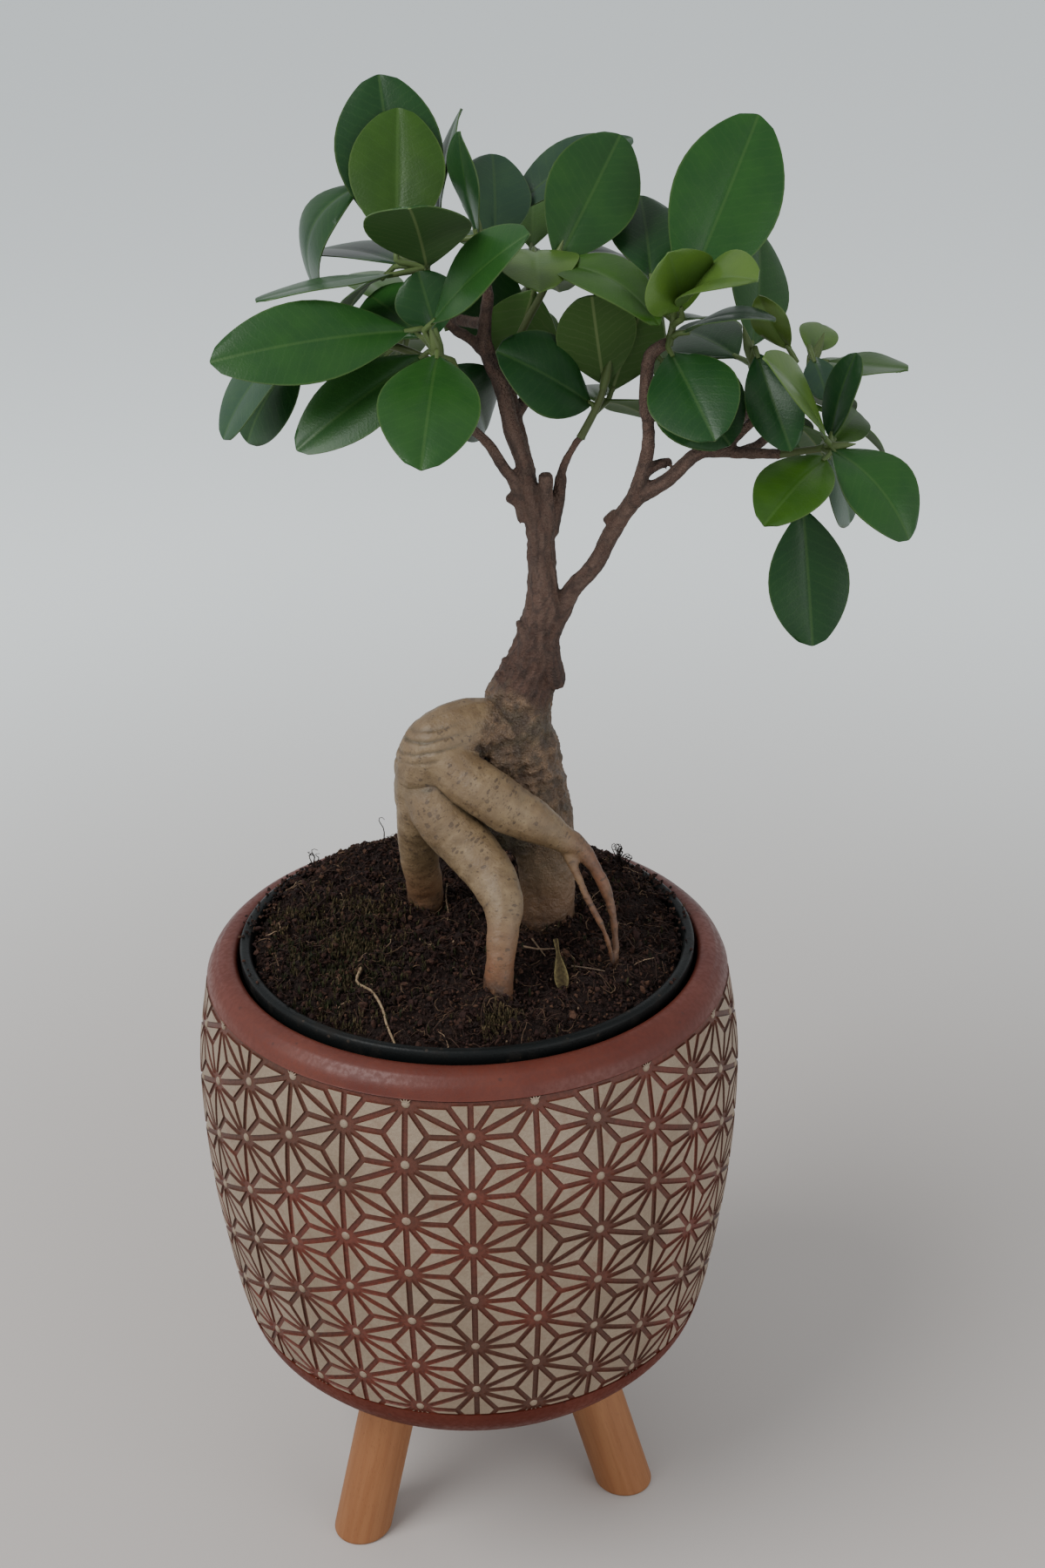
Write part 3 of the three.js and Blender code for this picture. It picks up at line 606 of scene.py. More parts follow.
bend_round_pot(tiles, GROOVE)
bend_round_pot(bosses, GROOVE)
edit(tiles)
bpy.ops.mesh.remove_doubles(threshold=1e-6)
leave_edit()
smooth(tiles, 30)
smooth(bosses, 80)
print("bent:", len(tiles.data.polygons), "faces of tiles,", len(bosses.data.polygons), "of bosses")

# %% [markdown]
# ## The outer pot: glaze
# The pot has a satin red-brown glaze. In the grooves it changes from brown to red and back
# over a few centimetres, as it does where a glaze was wiped off a relief. The tiles are a
# dull cream that is worn in places, and some red shows through there.

# %% Glaze and cream
red_glaze, tree, shader = new_material("red_glaze", 0.42)
fine = clouds(tree, 1.2)
dots = scattered(tree, 5, 0.1, 0.35)
glaze = mix(tree, clouds(tree, 22), (0.078, 0.016, 0.010), (0.106, 0.026, 0.016))
glaze = layered(tree, glaze, (fine, 0.3, (0.052, 0.012, 0.008)), (dots, 0.6, (0.045, 0.014, 0.010)))
colour(tree, shader, glaze)
tree.links.new(ramp(tree, fine, 0, 1, 0.38, 0.52), shader.inputs["Roughness"])
# The band round the foot was wiped, so it shines less than the lip.
shine = ramp(tree, object_height(tree), 0.072, 0.086, 0.05, 0.28)
tree.links.new(shine, shader.inputs["Specular IOR Level"])
relief(tree, shader, fine, 0.02)

groove_glaze, tree, shader = new_material("groove_glaze", 0.5, Specular_IOR_Level=0.25)
fine = clouds(tree, 1.0)
groove = mix(tree, clouds(tree, 34, 0.38, 0.62), (0.074, 0.028, 0.017), (0.118, 0.031, 0.020))
colour(tree, shader, layered(tree, groove, (fine, 0.4, (0.032, 0.012, 0.008))))
relief(tree, shader, fine, 0.05)

cream, tree, shader = new_material("cream_glaze", 0.5, Specular_IOR_Level=0.3)
fine = clouds(tree, 0.8, 0.35, 0.65)
worn = clouds(tree, 4, 0.56, 0.72)
tile = mix(tree, clouds(tree, 18), (0.192, 0.145, 0.100), (0.246, 0.190, 0.138))
tile = layered(tree, tile, (fine, 0.25, (0.150, 0.100, 0.066)), (worn, 0.3, (0.160, 0.075, 0.050)))
colour(tree, shader, tile)
relief(tree, shader, fine, 0.05)

tiles.data.materials.append(groove_glaze)
tiles.data.materials.append(cream)
bosses.data.materials.append(cream)
only(tiles)
bosses.select_set(True)
bpy.ops.object.join()
dress(pot, "pot", ["outer_pot"], red_glaze)
dress(tiles, "pot", [])

# %% [markdown]
# ## The nursery pot
# The plant still stands in the thin dark plastic pot it was grown in. Only its rolled rim
# shows, with a bevelled inner edge that soil has dusted. It is spun like the outer pot.

# %% Spin the nursery pot
nursery_section = [(0, 68.8), (44.5, 68.8), (45, 69.4), (57.2, 172.2), (59.4, 172.4), (59.9, 173.4),
                   (59.95, 176.4), (59.75, 177.1), (59.1, 177.4), (58.0, 177.35), (57.3, 176.9),
                   (56.9, 175.8), (43.8, 71.4), (0, 71.2)]
nursery_pot = spin_section("grower_pot", nursery_section, POT_SIDES)
smooth(nursery_pot, 50)
dark_plastic, tree, shader = new_material("dark_plastic", 0.45, Specular_IOR_Level=0.12)
fine = clouds(tree, 0.7)
dusty = clouds(tree, 7, 0.5, 0.7)
dust = scattered(tree, 1.6, 0.28, 0.3)
plastic = layered(tree, (0.005, 0.006, 0.006), (dusty, 0.25, (0.024, 0.018, 0.013)),
                  (dust, dusty, (0.050, 0.036, 0.026)))
colour(tree, shader, plastic)
tree.links.new(ramp(tree, dusty, 0, 1, 0.40, 0.65), shader.inputs["Roughness"])
relief(tree, shader, fine, 0.03)
dress(nursery_pot, "nursery_plastic", ["nursery_pot"], dark_plastic)

# %% [markdown]
# ## The wood: limbs along curves
# Roots, trunk and branches grew together, so they are one piece. Each limb is a curve with
# its own thickness at every point, which is the quickest way to draw a root. The rows are
# x, y, z and radius in millimetres. They are the CAD's, with stubs, flakes, a swelling at
# the graft and a hidden knot added. The limbs are fused into two skins, because a crease
# stays sharp only where the two lower roots come out from under the others.

# %% Rows of the limbs
TRUNK = [(21, 0, 170, 7.6), (21, 0, 183, 7.2), (21, 0, 194, 7.2), (19.6, 1, 206, 8.2),
         (17.3, 2, 215, 9.4),
         (15, 2, 224, 10), (13.8, 2, 233, 9.6), (14.2, 2, 242, 8.2), (16.8, 2, 249, 7.1),
         (18.4, 1, 255, 5.9), (19.3, 1, 262, 4.6), (20.2, 0, 268, 4), (20.3, 0, 273, 3.5),
         (20, 0, 281, 3.2), (20, 0, 290, 2.9)]
HIP_ROOT = [(15, 0, 235, 7.2), (6, -3, 237, 7.2), (-1, -6, 237, 8), (-7, -8, 233, 9), (-9.7, -8.2, 227.6, 8),
            (-9.7, -8, 224.6, 6.6)]
REAR_ROOT = [(-7, -8, 231, 7.4), (-9.9, -7.6, 226, 7.7), (-11, -6, 217, 6.4), (-12, -2, 208, 5.4),
             (-12, 4, 196, 4.9), (-11, 9, 185, 4.9), (-11, 10, 172, 4.9)]
FRONT_ROOT = [(-9, -8, 226, 7.2), (-7, -12, 219, 7.2), (0, -16, 211, 7), (6, -22, 205, 6.1),
              (9, -28, 200, 5), (9, -32, 195, 4.1), (8, -35, 189, 3.6), (7, -36, 178, 3.9),
              (7, -37, 172, 3.4)]
CROSSING_ROOT = [(-7, -8, 234, 7.6), (-1, -13, 229, 6.6), (5, -16, 225, 6.7), (11, -17, 221, 6.3),
                 (18, -18, 217, 5.2), (24, -18, 213, 3.5), (28.6, -18, 209.8, 2.4), (33, -19, 203.6, 1.55),
                 (36.2, -20, 195, 1.2), (37.5, -21, 186, 0.95), (37.8, -22, 180, 0.75), (37.8, -22, 175, 0.5)]
CROSSING_FORK = [(25.5, -18, 209.6, 1.7), (27.6, -21, 204.4, 0.95), (30.4, -23, 198, 0.8),
                 (34.2, -24, 190, 0.75), (36.4, -23.5, 182, 0.65), (37, -23, 176, 0.5)]
BRANCHES = [
    [(19, 0, 286, 2.6), (17, 0, 298, 2.2), (16, -1, 304, 2.1), (13, -2, 313, 2), (11, 0, 322, 1.8),
     (8, 2, 329, 1.7), (7, 4, 334, 1.5), (8, 7, 342, 1.3), (7.8, 8, 345, 1.1)],
    [(8, 2, 329, 1.4), (5, 3, 332, 1.2), (2, 4, 334, 1.2), (0, 5, 335, 1.1), (-2, 5.6, 337, 1)],
    [(7, 5, 336, 1.3), (2, 15, 335, 1.3), (-5, 25, 334, 1.1), (-8, 29, 333, 1)],
    [(19, 2, 287, 2.1), (17, 4, 300, 1.7), (15, 5, 310, 1.6), (13, 5, 319, 1.5), (12, 4, 326, 1.2)],
    [(14, 5, 314, 1.5), (20, 16, 322, 1.4), (18, 28, 333, 1.2), (18.5, 31, 337, 1)],
    [(16, -1, 290, 1.7), (14, -2, 299, 1.5), (11, -3, 304, 1.3), (7, -3, 310, 1.2), (1.8, -3.6, 315, 1)],
    [(21, -1, 286, 2), (21, -2, 297, 1.6), (21, -3, 302, 1.6)],
    [(22, 1, 286, 2), (24, 1, 294, 1.6), (25, 1, 300, 1.4)],
    [(23, 1, 292, 1.2), (26, 1, 304, 0.9), (29.8, 0, 310.6, 0.8)],
    [(20, 0, 257, 2.8), (25, 0, 267, 2.4), (28, -1, 273, 2.1), (33, -2, 279, 2), (37, -2, 287, 2),
     (43, -4, 297, 2)],
    [(42, -4, 295, 2), (44, -5, 303, 1.6), (45, -6, 309, 1.5), (45, -7, 314, 1.4), (44, -8, 320, 1.4),
     (44, -9, 327, 1.4), (45, -10, 332, 1.4), (49, -10, 334.6, 1.2)],
    [(42, -4, 296, 2), (50, -6, 301, 1.7), (57, -8, 308, 1.5), (66, -9, 308, 1.2), (76, -10.6, 308, 1.1)],
    [(62, -8, 308, 1.2), (66, -8, 312, 1.1), (71.4, -8, 317.6, 1)],
    [(66, -9, 308, 1.2), (72, -4, 309, 1.1), (79, 4, 312.6, 1)],
    [(44, -7, 317, 1.4), (46, 8, 324, 1.3), (49, 24, 331, 1.1)],
    [(60, -8, 308, 1.3), (68, 8, 311, 1.2), (77, 22, 315, 1.1)],
]
# Stubs of cut twigs, and flakes of bark that stand off the trunk.
STUBS = [
    [(45, -4, 303, 1.5), (49, -4, 304.6, 1.1), (51, -4, 305, 0.7)],
    [(14, -2, 295, 1.2), (11.6, -2.2, 296.5, 0.9)],
    [(36, -2, 289, 1.8), (38.2, -1.6, 292, 1.1)],
    [(16, -1, 260.6, 1.5), (14.6, -1, 263, 0.8), (13.9, -1, 264.6, 0.5)],
    [(13.8, -1, 251.6, 2.4), (11.4, -1, 253.6, 1.5), (10.2, -1, 254.6, 0.8)],
    [(12.4, -1, 246.6, 2.6), (10, -1, 249, 1.4), (8.6, -1, 250.8, 0.7)],
    [(21.2, -2, 257, 2.8), (22.8, -2.2, 252, 2.5), (23.6, -2.2, 248.6, 2.1), (24, -2.2, 246.6, 1.2)],
]
# A knot deep between the roots, coloured dark with painted shade, and the swelling of the graft above it.
INNER_KNOT = [(-5, -3, 222, 5), (2, -7, 216, 4.6), (9, -6, 211, 4.6), (16, -2, 205, 5)]
GRAFT_SWELLING = [(15, 1, 230, 9), (9, -3, 230.5, 7.4), (4.5, -6, 230, 5.4)]
ROOTS = [HIP_ROOT, REAR_ROOT, FRONT_ROOT, CROSSING_ROOT, CROSSING_FORK, INNER_KNOT, GRAFT_SWELLING]
LOWER_ROOTS = [REAR_ROOT, FRONT_ROOT]  # these come out from under the others
LIMBS = [TRUNK] + ROOTS + BRANCHES + STUBS
print(len(LIMBS), "limbs")

# %% Draw each limb as a thick curve, and fuse them


def limb_samples(rows, spacing=1.2):
    """Places and radii along the smooth curve through a limb's rows."""
    places = [Vector(row[:3]) for row in rows]
    length = sum((b - a).length for a, b in zip(places, places[1:]))
    steps = max(4, round(length / spacing))
    samples = []
    for i in range(steps + 1):
        t = i / steps * (len(rows) - 1)
        k = min(int(t), len(rows) - 2)
        samples.append((catmull(places, i / steps), rows[k][3] + (rows[k + 1][3] - rows[k][3]) * (t - k)))
    return samples


def draw_limb(rows, name):
    bpy.ops.curve.primitive_nurbs_path_add()
    limb = added(name)
    curve = limb.data
    curve.splines.clear()
    samples = limb_samples(rows)
    spline = curve.splines.new("POLY")
    spline.points.add(len(samples) - 1)
    for point, (place, radius) in zip(spline.points, samples):
        point.co = (*at(*place), 1)
        point.radius = radius + 0.08
    curve.dimensions = "3D"
    curve.bevel_depth = MM
    curve.bevel_resolution = 5
    curve.use_fill_caps = True
    only(limb)
    bpy.ops.object.convert(target="MESH")
    return bpy.context.object


def fuse(limb_rows, name, is_lower, smoothing):
    """One skin round several limbs."""
    drawn = [draw_limb(rows, f"{name}_{i}") for i, rows in enumerate(limb_rows)]
    body = only(drawn[0])
    for limb in drawn[1:]:
        limb.select_set(True)
    if len(drawn) > 1:
        bpy.ops.object.join()
    apply_modifier(body, "REMESH", mode="VOXEL", voxel_size=0.52 * MM)
    apply_modifier(body, "SMOOTH", factor=0.5, iterations=smoothing)
    set_attribute(body, "is_lower", np.full(len(body.data.vertices), float(is_lower)))
    return body


lower_limbs = [LIMBS.index(rows) for rows in LOWER_ROOTS]
upper_limbs = [i for i in range(len(LIMBS)) if i not in lower_limbs]
lower_body = fuse(LOWER_ROOTS, "lower_roots", True, 22)
wood = fuse([LIMBS[i] for i in upper_limbs], "wood", False, 6)
lower_body.select_set(True)
bpy.ops.object.join()
wood.name = wood.data.name = "wood"
is_lower = np.empty(len(wood.data.vertices))
wood.data.attributes["is_lower"].data.foreach_get("value", is_lower)
wood.data.attributes.remove(wood.data.attributes["is_lower"])
is_lower = is_lower > 0.5
print("wood:", len(wood.data.vertices), "points,", int(is_lower.sum()), "on the lower roots")

# %% [markdown]
# ## The wood: wrinkles, lumps and bark
# A remeshed body is too smooth for a tree. Each point first finds the two limbs it is
# nearest to, and its place along and across both. Noise in those directions, stretched one
# way or the other, gives bark that runs along a branch and wrinkles that run round a root.
# Where two limbs meet, their patterns are blended, so that no seam shows. Three attributes
# keep what the material needs: what skin a point has, its pattern, and its shade, which holds painted shade
# in the creases, pits and redness.

# %% Find each point's place on its limbs
sample_rows = []
for index, rows in enumerate(LIMBS):
    samples = limb_samples(rows)
    across = Vector((1, 0, 0))
    for i, (place, radius) in enumerate(samples):
        along = (samples[min(i + 1, len(samples) - 1)][0] - samples[max(i - 1, 0)][0]).normalized()
        across = (across - across.dot(along) * along).normalized()
        sample_rows.append((*place, radius, *along, *across, *along.cross(across), i * 1.2, index))
samples = np.array(sample_rows)
sample_limb = samples[:, 14].astype(int)
points = points_of(wood) / MM - AXIS
gaps = np.empty((len(points), len(LIMBS)))
nearest = np.empty((len(points), len(LIMBS)), int)
for start in range(0, len(points), 8000):
    part = slice(start, start + 8000)
    gap = np.linalg.norm(points[part, None] - samples[None, :, :3], axis=2) - samples[:, 3]
    for index in range(len(LIMBS)):
        own = np.nonzero(sample_limb == index)[0]
        gaps[part, index] = gap[:, own].min(axis=1)
        nearest[part, index] = own[gap[:, own].argmin(axis=1)]
to_other_body = np.where(is_lower, gaps[:, upper_limbs].min(axis=1), gaps[:, lower_limbs].min(axis=1))
own_gaps = gaps.copy()
own_gaps[np.ix_(~is_lower, lower_limbs)] = 99
own_gaps[np.ix_(is_lower, upper_limbs)] = 99
ranked = np.argsort(own_gaps, axis=1)[:, :2]
every = np.arange(len(points))
rivalry = own_gaps[every, ranked[:, 1]] - own_gaps[every, ranked[:, 0]]
second_share = 0.5 * (1 - smoothstep(0, 1.5, rivalry))


def limb_frame(rank):
    """Each point's place along and across the first or second of its nearest limbs."""
    home = samples[nearest[every, ranked[:, rank]]]
    offset = points - home[:, :3]
    place = np.stack([(offset * home[:, 4:7]).sum(1) + home[:, 13], (offset * home[:, 7:10]).sum(1),
                      (offset * home[:, 10:13]).sum(1)], axis=1)
    return place + 23 * home[:, 14:15]


frames = [limb_frame(0), limb_frame(1)]


def limb_noise(stretch, size, seed):
    """Noise that follows the limbs, blended where two of them meet."""
    first = noise_at(frames[0] * stretch, size, seed)
    second = np.zeros(len(points))
    shared = second_share > 0
    second[shared] = noise_at(frames[1][shared] * stretch, size, seed)
    return first + (second - first) * second_share


print(len(samples), "places along the limbs,", int((second_share > 0).sum()), "points where two limbs meet")

# %% Say what skin each point has
HIP, REAR, CROSSING = (LIMBS.index(rows) for rows in (HIP_ROOT, REAR_ROOT, CROSSING_ROOT))
FORK, KNOT, SWELLING = (LIMBS.index(rows) for rows in (CROSSING_FORK, INNER_KNOT, GRAFT_SWELLING))
limb_index = ranked[:, 0]
thickness = samples[nearest[every, limb_index], 3]
height = points[:, 2]
is_root = (limb_index >= 1) & (limb_index <= len(ROOTS))
is_branch = limb_index > len(ROOTS)
past_hip = points[:, 0] - 0.6 * (height - 233) + 1.6 * noise_at(points, 4, 15)
hip_share = 1 - smoothstep(-2.5, 2.5, past_hip)
on_hip = (limb_index == HIP) | (limb_index == SWELLING)
# The hidden knot takes little root skin, so it is as dark as the graft: painted shade.
rootness = np.where(on_hip, hip_share, is_root * (0.2 + 0.8 * (limb_index != KNOT)))
rootness = np.maximum(rootness, np.where(is_branch, 0, 1 - smoothstep(192, 216, height)) * 0.7)
bark_foot = 247 - 4.5 * np.exp(-((points[:, 0] - 20) / 4) ** 2)
ragged = 2.5 * noise_at(points, 5) + 1.5 * noise_at(points, 1.8)
barkness = np.where(is_branch, 1.0, smoothstep(-2.5, 2.5, height - bark_foot + ragged))
print("root points", int((rootness > 0.5).sum()), "bark points", int((barkness > 0.5).sum()))

# %% Work out lumps, wrinkles and bark
normals = np.empty(len(points) * 3)
wood.data.vertices.foreach_get("normal", normals)
normals = normals.reshape(-1, 3)
lumps = 0.34 * noise_at(points, 8, 3) + 0.2 * noise_at(points, 3.4, 8)
wrinkles = 0.09 * (1 - np.abs(limb_noise((1, 0.25, 0.25), 1.5, 5)) * 2)
knobs = 1 - np.abs(noise_at(points, 2.6, 6)) * 3
graft = 0.9 * noise_at(points, 4.2, 2) + 0.42 * knobs + 0.3 * noise_at(points, 1.1, 7)
graft += 0.35 * limb_noise((0.2, 1, 1), 1.8, 31) * smoothstep(222, 208, height)
ridges = np.abs(limb_noise((0.25, 1, 1), 1.9, 4))
flakes = limb_noise((0.45, 1, 1), 1.3, 9)
bark = 0.40 * (1 - 2.4 * ridges) + 0.30 * flakes + 0.22 * noise_at(points, 1.1, 12)
graftness = np.clip(1 - rootness - barkness, 0, 1)
move = rootness * (lumps + wrinkles) + graftness * graft
move += barkness * bark * np.clip(thickness / 4.0, 0.4, 1.25)
print("the skin moves from", round(float(move.min()), 2), "to", round(float(move.max()), 2), "mm")

# %% Sink the creases and darken them with painted shade
# Painted shade along the crease where the two skins meet, weaker at the far left.
by_crease = 1 - smoothstep(-0.3, 1.3, np.abs(to_other_body))
crevice = by_crease * (0.25 + 0.65 * smoothstep(-13, -8, points[:, 0]))
swollen = np.minimum(gaps[:, 0], gaps[:, SWELLING])
# Grooves are sunk beside the graft's swelling, along the crossing root and the hip, and painted shade darkens
# them.
for other, right_of, share in ((CROSSING, -4, 1.0), (HIP, 1, 0.45)):
    beside = share * np.exp(-((swollen - gaps[:, other]) / 1.0) ** 2) * ~is_lower
    beside *= smoothstep(right_of - 3, right_of + 2, points[:, 0]) * smoothstep(205, 212, height)
    beside *= 1 - smoothstep(0.8, 2.2, gaps[:, other])
    move -= 0.9 * beside
    crevice = np.maximum(crevice, beside)
# The hidden knot, and the trunk where the knot is nearer, get painted shade: they lie deep in shade between
# the roots.
in_the_dark = 1 - smoothstep(-2.5, 1.5, gaps[:, KNOT] - gaps[:, 0])
crevice = np.maximum(crevice, np.where((limb_index == KNOT) | (limb_index == 0), 0.85 * in_the_dark, 0))
WRINKLE_RINGS = ((239.4, 0.3), (237.2, 0.5), (234.7, 0.45), (232.5, 0.3))
# The wrinkle rings on the hip are sunk, and painted shade darkens them.
for ring_z, depth in WRINKLE_RINGS:
    ring = height - ring_z - 0.2 * (points[:, 0] + 14) - 0.5 * noise_at(points, 5, ring_z)
    line = np.exp(-(ring / 0.34) ** 2) * smoothstep(3, -6, points[:, 0]) * (limb_index == HIP)
    move -= depth * line
    crevice = np.maximum(crevice, 1.5 * depth * line)
print(int((crevice > 0.5).sum()), "points lie in a crease")

# %% Move the points, and store what the material reads
set_points(wood, points_of(wood) + normals * move[:, None] * MM)
clear = smoothstep(0.3, 1.4, rivalry)
grain = 0.5 + 0.5 * np.clip(2.2 * limb_noise((0.2, 1, 1), 1.3, 21), -1, 1)
rings = 0.5 + 0.5 * np.clip(2.0 * limb_noise((1, 0.14, 0.14), 1.2, 17), -1, 1)
pits = 1 - smoothstep(0.0, 0.14, ridges)
set_attribute(wood, "limb_place", frames[0])
set_attribute(wood, "pattern", np.stack([grain, rings, clear * (limb_index > 0)], axis=1))
# Less red on the rear root lightens it: painted light on a root that lies in shade. The trunk's foot gets
# less red too.
reddened = smoothstep(203, 186, height) * (1 - 0.4 * (limb_index == REAR) - 0.4 * (limb_index == 0))
on_fingers = (limb_index == CROSSING) | (limb_index == FORK)
reddened = np.maximum(reddened, on_fingers * smoothstep(22, 34, points[:, 0]))
set_attribute(wood, "shade", np.stack([crevice, pits, reddened], axis=1))
soiled = np.maximum(smoothstep(189, 180, height), 0.55 * on_fingers * smoothstep(24, 33, points[:, 0]))
set_attribute(wood, "skin", np.stack([rootness, barkness, soiled], axis=1))
smooth(wood, 75)
print("the wood reaches", round(float(points_of(wood)[:, 2].max() / MM), 1), "mm above the floor")

# %% [markdown]
# ## The wood: colour
# The skin attribute says how much of each point is smooth root, rough bark or soiled foot.
# Roots are tan with dark corky pores lying across them, and redder towards the soil. Bark
# is a reddish brown, darkest where the trunk begins, and the graft below it is blotched
# grey-brown. The shade attribute paints shade into the creases and round the hidden knot,
# in a dark colour with a tint of dirt and moss.

# %% What the wood's material reads
living_wood, tree, shader = new_material("living_wood", 0.7)
smooth_root, rough_bark, soiled = attribute_parts(tree, "skin")
grain_line, ring_line, open_skin = attribute_parts(tree, "pattern")
crease, pit, redness = attribute_parts(tree, "shade")
broad = clouds(tree, 9)
middle = clouds(tree, 2.6, 0.35, 0.65)
fine = clouds(tree, 0.6)
stains = clouds(tree, 4.5, 0.46, 0.72)
limb_vector = attribute(tree, "limb_place")
bent = add_node(tree, "TexNoise", {"Vector": limb_vector, "Scale": 0.9, "Detail": 2.0}).outputs[1]
lying_across = stretched(tree, limb_vector, (1.5, 0.75, 0.75))
lying_across = add_node(tree, "VectorMath", {0: lying_across, 1: bent}).outputs[0]
pores = math_node(tree, "MULTIPLY", scattered(tree, 1.7, 0.30, 0.42, lying_across), open_skin)
small_pores = math_node(tree, "MULTIPLY", scattered(tree, 0.7, 0.34, 0.44, lying_across), open_skin)
print("living_wood:", len(tree.nodes), "nodes so far")

# %% Colours of root, graft and bark
root_skin = mix(tree, broad, (0.138, 0.088, 0.042), (0.195, 0.136, 0.072))
root_skin = layered(tree, root_skin,
                    (middle, 0.5, (0.105, 0.064, 0.030)),
                    (stains, 0.55, (0.080, 0.048, 0.022)),
                    (ring_line, 0.28, (0.070, 0.040, 0.018)),
                    (redness, ramp(tree, broad, 0, 1, 0.6, 0.95), (0.136, 0.049, 0.020)),
                    (small_pores, 0.5, (0.050, 0.028, 0.014)),
                    (pores, 0.62, (0.038, 0.021, 0.011)))
graft_skin = mix(tree, middle, (0.055, 0.029, 0.015), (0.168, 0.098, 0.051))
graft_skin = layered(tree, graft_skin,
                     (stains, 0.7, (0.034, 0.026, 0.012)),
                     (fine, 0.5, (0.030, 0.020, 0.012)),
                     (grain_line, 0.4, (0.125, 0.075, 0.042)))
bark_skin = mix(tree, grain_line, (0.034, 0.017, 0.011), (0.105, 0.060, 0.043))
bark_skin = layered(tree, bark_skin,
                    (middle, 0.45, (0.075, 0.032, 0.020)),
                    (fine, 0.35, (0.13, 0.085, 0.062)),
                    (pit, 0.6, (0.020, 0.011, 0.008)))
print("living_wood:", len(tree.nodes), "nodes so far")

# %% Lay the three skins together
low_bark = ramp(tree, object_height(tree), 0.252, 0.272, 0.75, 0.0)
bark_skin = mix(tree, low_bark, bark_skin, mix(tree, 1.0, bark_skin, (0.62, 0.50, 0.44), "MULTIPLY"))
whole = mix(tree, rough_bark, mix(tree, smooth_root, graft_skin, root_skin), bark_skin)
# Painted shade darkens the creases, in a dark colour with a tint of dirt and moss; the soiled foot is real
# dirt by the soil.
crease_shade_and_dirt = mix(tree, middle, (0.030, 0.018, 0.011), (0.035, 0.032, 0.014))
whole = layered(tree, whole,
                (crease, 0.9, crease_shade_and_dirt),
                (soiled, ramp(tree, middle, 0, 1, 0.35, 0.9), (0.030, 0.017, 0.011)))
colour(tree, shader, whole)
tree.links.new(ramp(tree, rough_bark, 0, 1, 0.55, 0.85), shader.inputs["Roughness"])
lumpy = math_node(tree, "ADD", middle, fine)
lumpy = math_node(tree, "MULTIPLY", lumpy, ramp(tree, smooth_root, 0, 1, 0.8, 0.12))
lumpy = math_node(tree, "SUBTRACT", lumpy, math_node(tree, "MULTIPLY", pores, 0.35))
relief(tree, shader, lumpy, 0.4)
dress(wood, "bark", ["tree"], living_wood)

# %% [markdown]
# ## The soil: the mound
# The soil is a dark peat mix, heaped higher at the back. A disc spun from a gently curved
# line is raised by the same rule as in the CAD and roughened with noise of several sizes.

# %% Raise the mound
SOIL_FLOOR_Z = 71.5
SOIL_EDGE_Z = 174.2
SOIL_MOUND = 7
SOIL_BACK_HEAP = 5
SOIL_RADIUS = 56.0


def soil_height(x, y):
    """Height of the soil at a place, in millimetres."""
    x, y = np.asarray(x, float), np.asarray(y, float)
    share = np.clip(np.hypot(x, y) / SOIL_RADIUS, 0, 1)
    lump = 1.1 * np.sin(x * 0.21 + 1.3) * np.cos(y * 0.17) + 0.8 * np.sin(x * 0.4 + y * 0.33)
    lump += 0.7 * np.cos(x * 0.36 - y * 0.41 + 0.7)
    heap = SOIL_BACK_HEAP * smoothstep(0, 50, y)
    return SOIL_EDGE_Z + SOIL_MOUND * (1 - share ** 4) + heap + lump * (1 - 0.6 * share ** 6)


rings = [SOIL_RADIUS * (i / 84) for i in range(84, 0, -1)]
soil = spin_section("soil_mound", [(0, SOIL_FLOOR_Z), (43, SOIL_FLOOR_Z), (55.6, 171)] +
                    [(r, 176) for r in rings] + [(0, 176)], 250)
points = points_of(soil) / MM - AXIS
top = points[:, 2] > 173
rough = 1.2 * noise_at(points * (1, 1, 0), 4.5, 1) + 0.9 * noise_at(points * (1, 1, 0), 1.9, 2)
rough += 0.6 * noise_at(points * (1, 1, 0), 0.8, 3)
points[top, 2] = (soil_height(points[:, 0], points[:, 1]) + rough)[top] - 0.6
set_points(soil, (points + AXIS) * MM)
smooth(soil, 60)

peat, tree, shader = new_material("peat", 0.95, Specular_IOR_Level=0.25)
clods = clouds(tree, 3.0, 0.35, 0.65)
grit = clouds(tree, 0.6, 0.35, 0.65)
chips = scattered(tree, 1.6, 0.3, 0.25)
earth = mix(tree, clods, (0.009, 0.0036, 0.0026), (0.022, 0.009, 0.006))
earth = layered(tree, earth, (grit, 0.5, (0.030, 0.017, 0.012)), (chips, 0.7, (0.060, 0.036, 0.024)))
colour(tree, shader, earth)
relief(tree, shader, math_node(tree, "ADD", clods, grit), 0.7)
dress(soil, "soil", ["soil"], peat)

# %% [markdown]
# ## The soil: crumbs, fibres and moss
# Peat is a litter of crumbs, flakes, root hairs and bits of moss. A few small lumps with
# sharp corners are modelled once and strewn by the thousand, each turned and sized by a
# seeded draw. Fibres are bent three-sided threads. Moss is short tufts, thickest at the
# front left.

# %% Strew crumbs
draw = random.Random(12)
crumb_kinds = []
for kind in range(6):
    bpy.ops.mesh.primitive_ico_sphere_add(subdivisions=1, radius=1)
    crumb = added(f"crumb_{kind}")
    ball = points_of(crumb)
    ball *= 1 + 0.75 * noise_at(ball, 0.6, kind * 3.3)[:, None]
    crumb_kinds.append((ball * (1, 0.75, 0.3 + 0.1 * kind), [tuple(f.vertices) for f in crumb.data.polygons]))
    bpy.data.objects.remove(crumb)


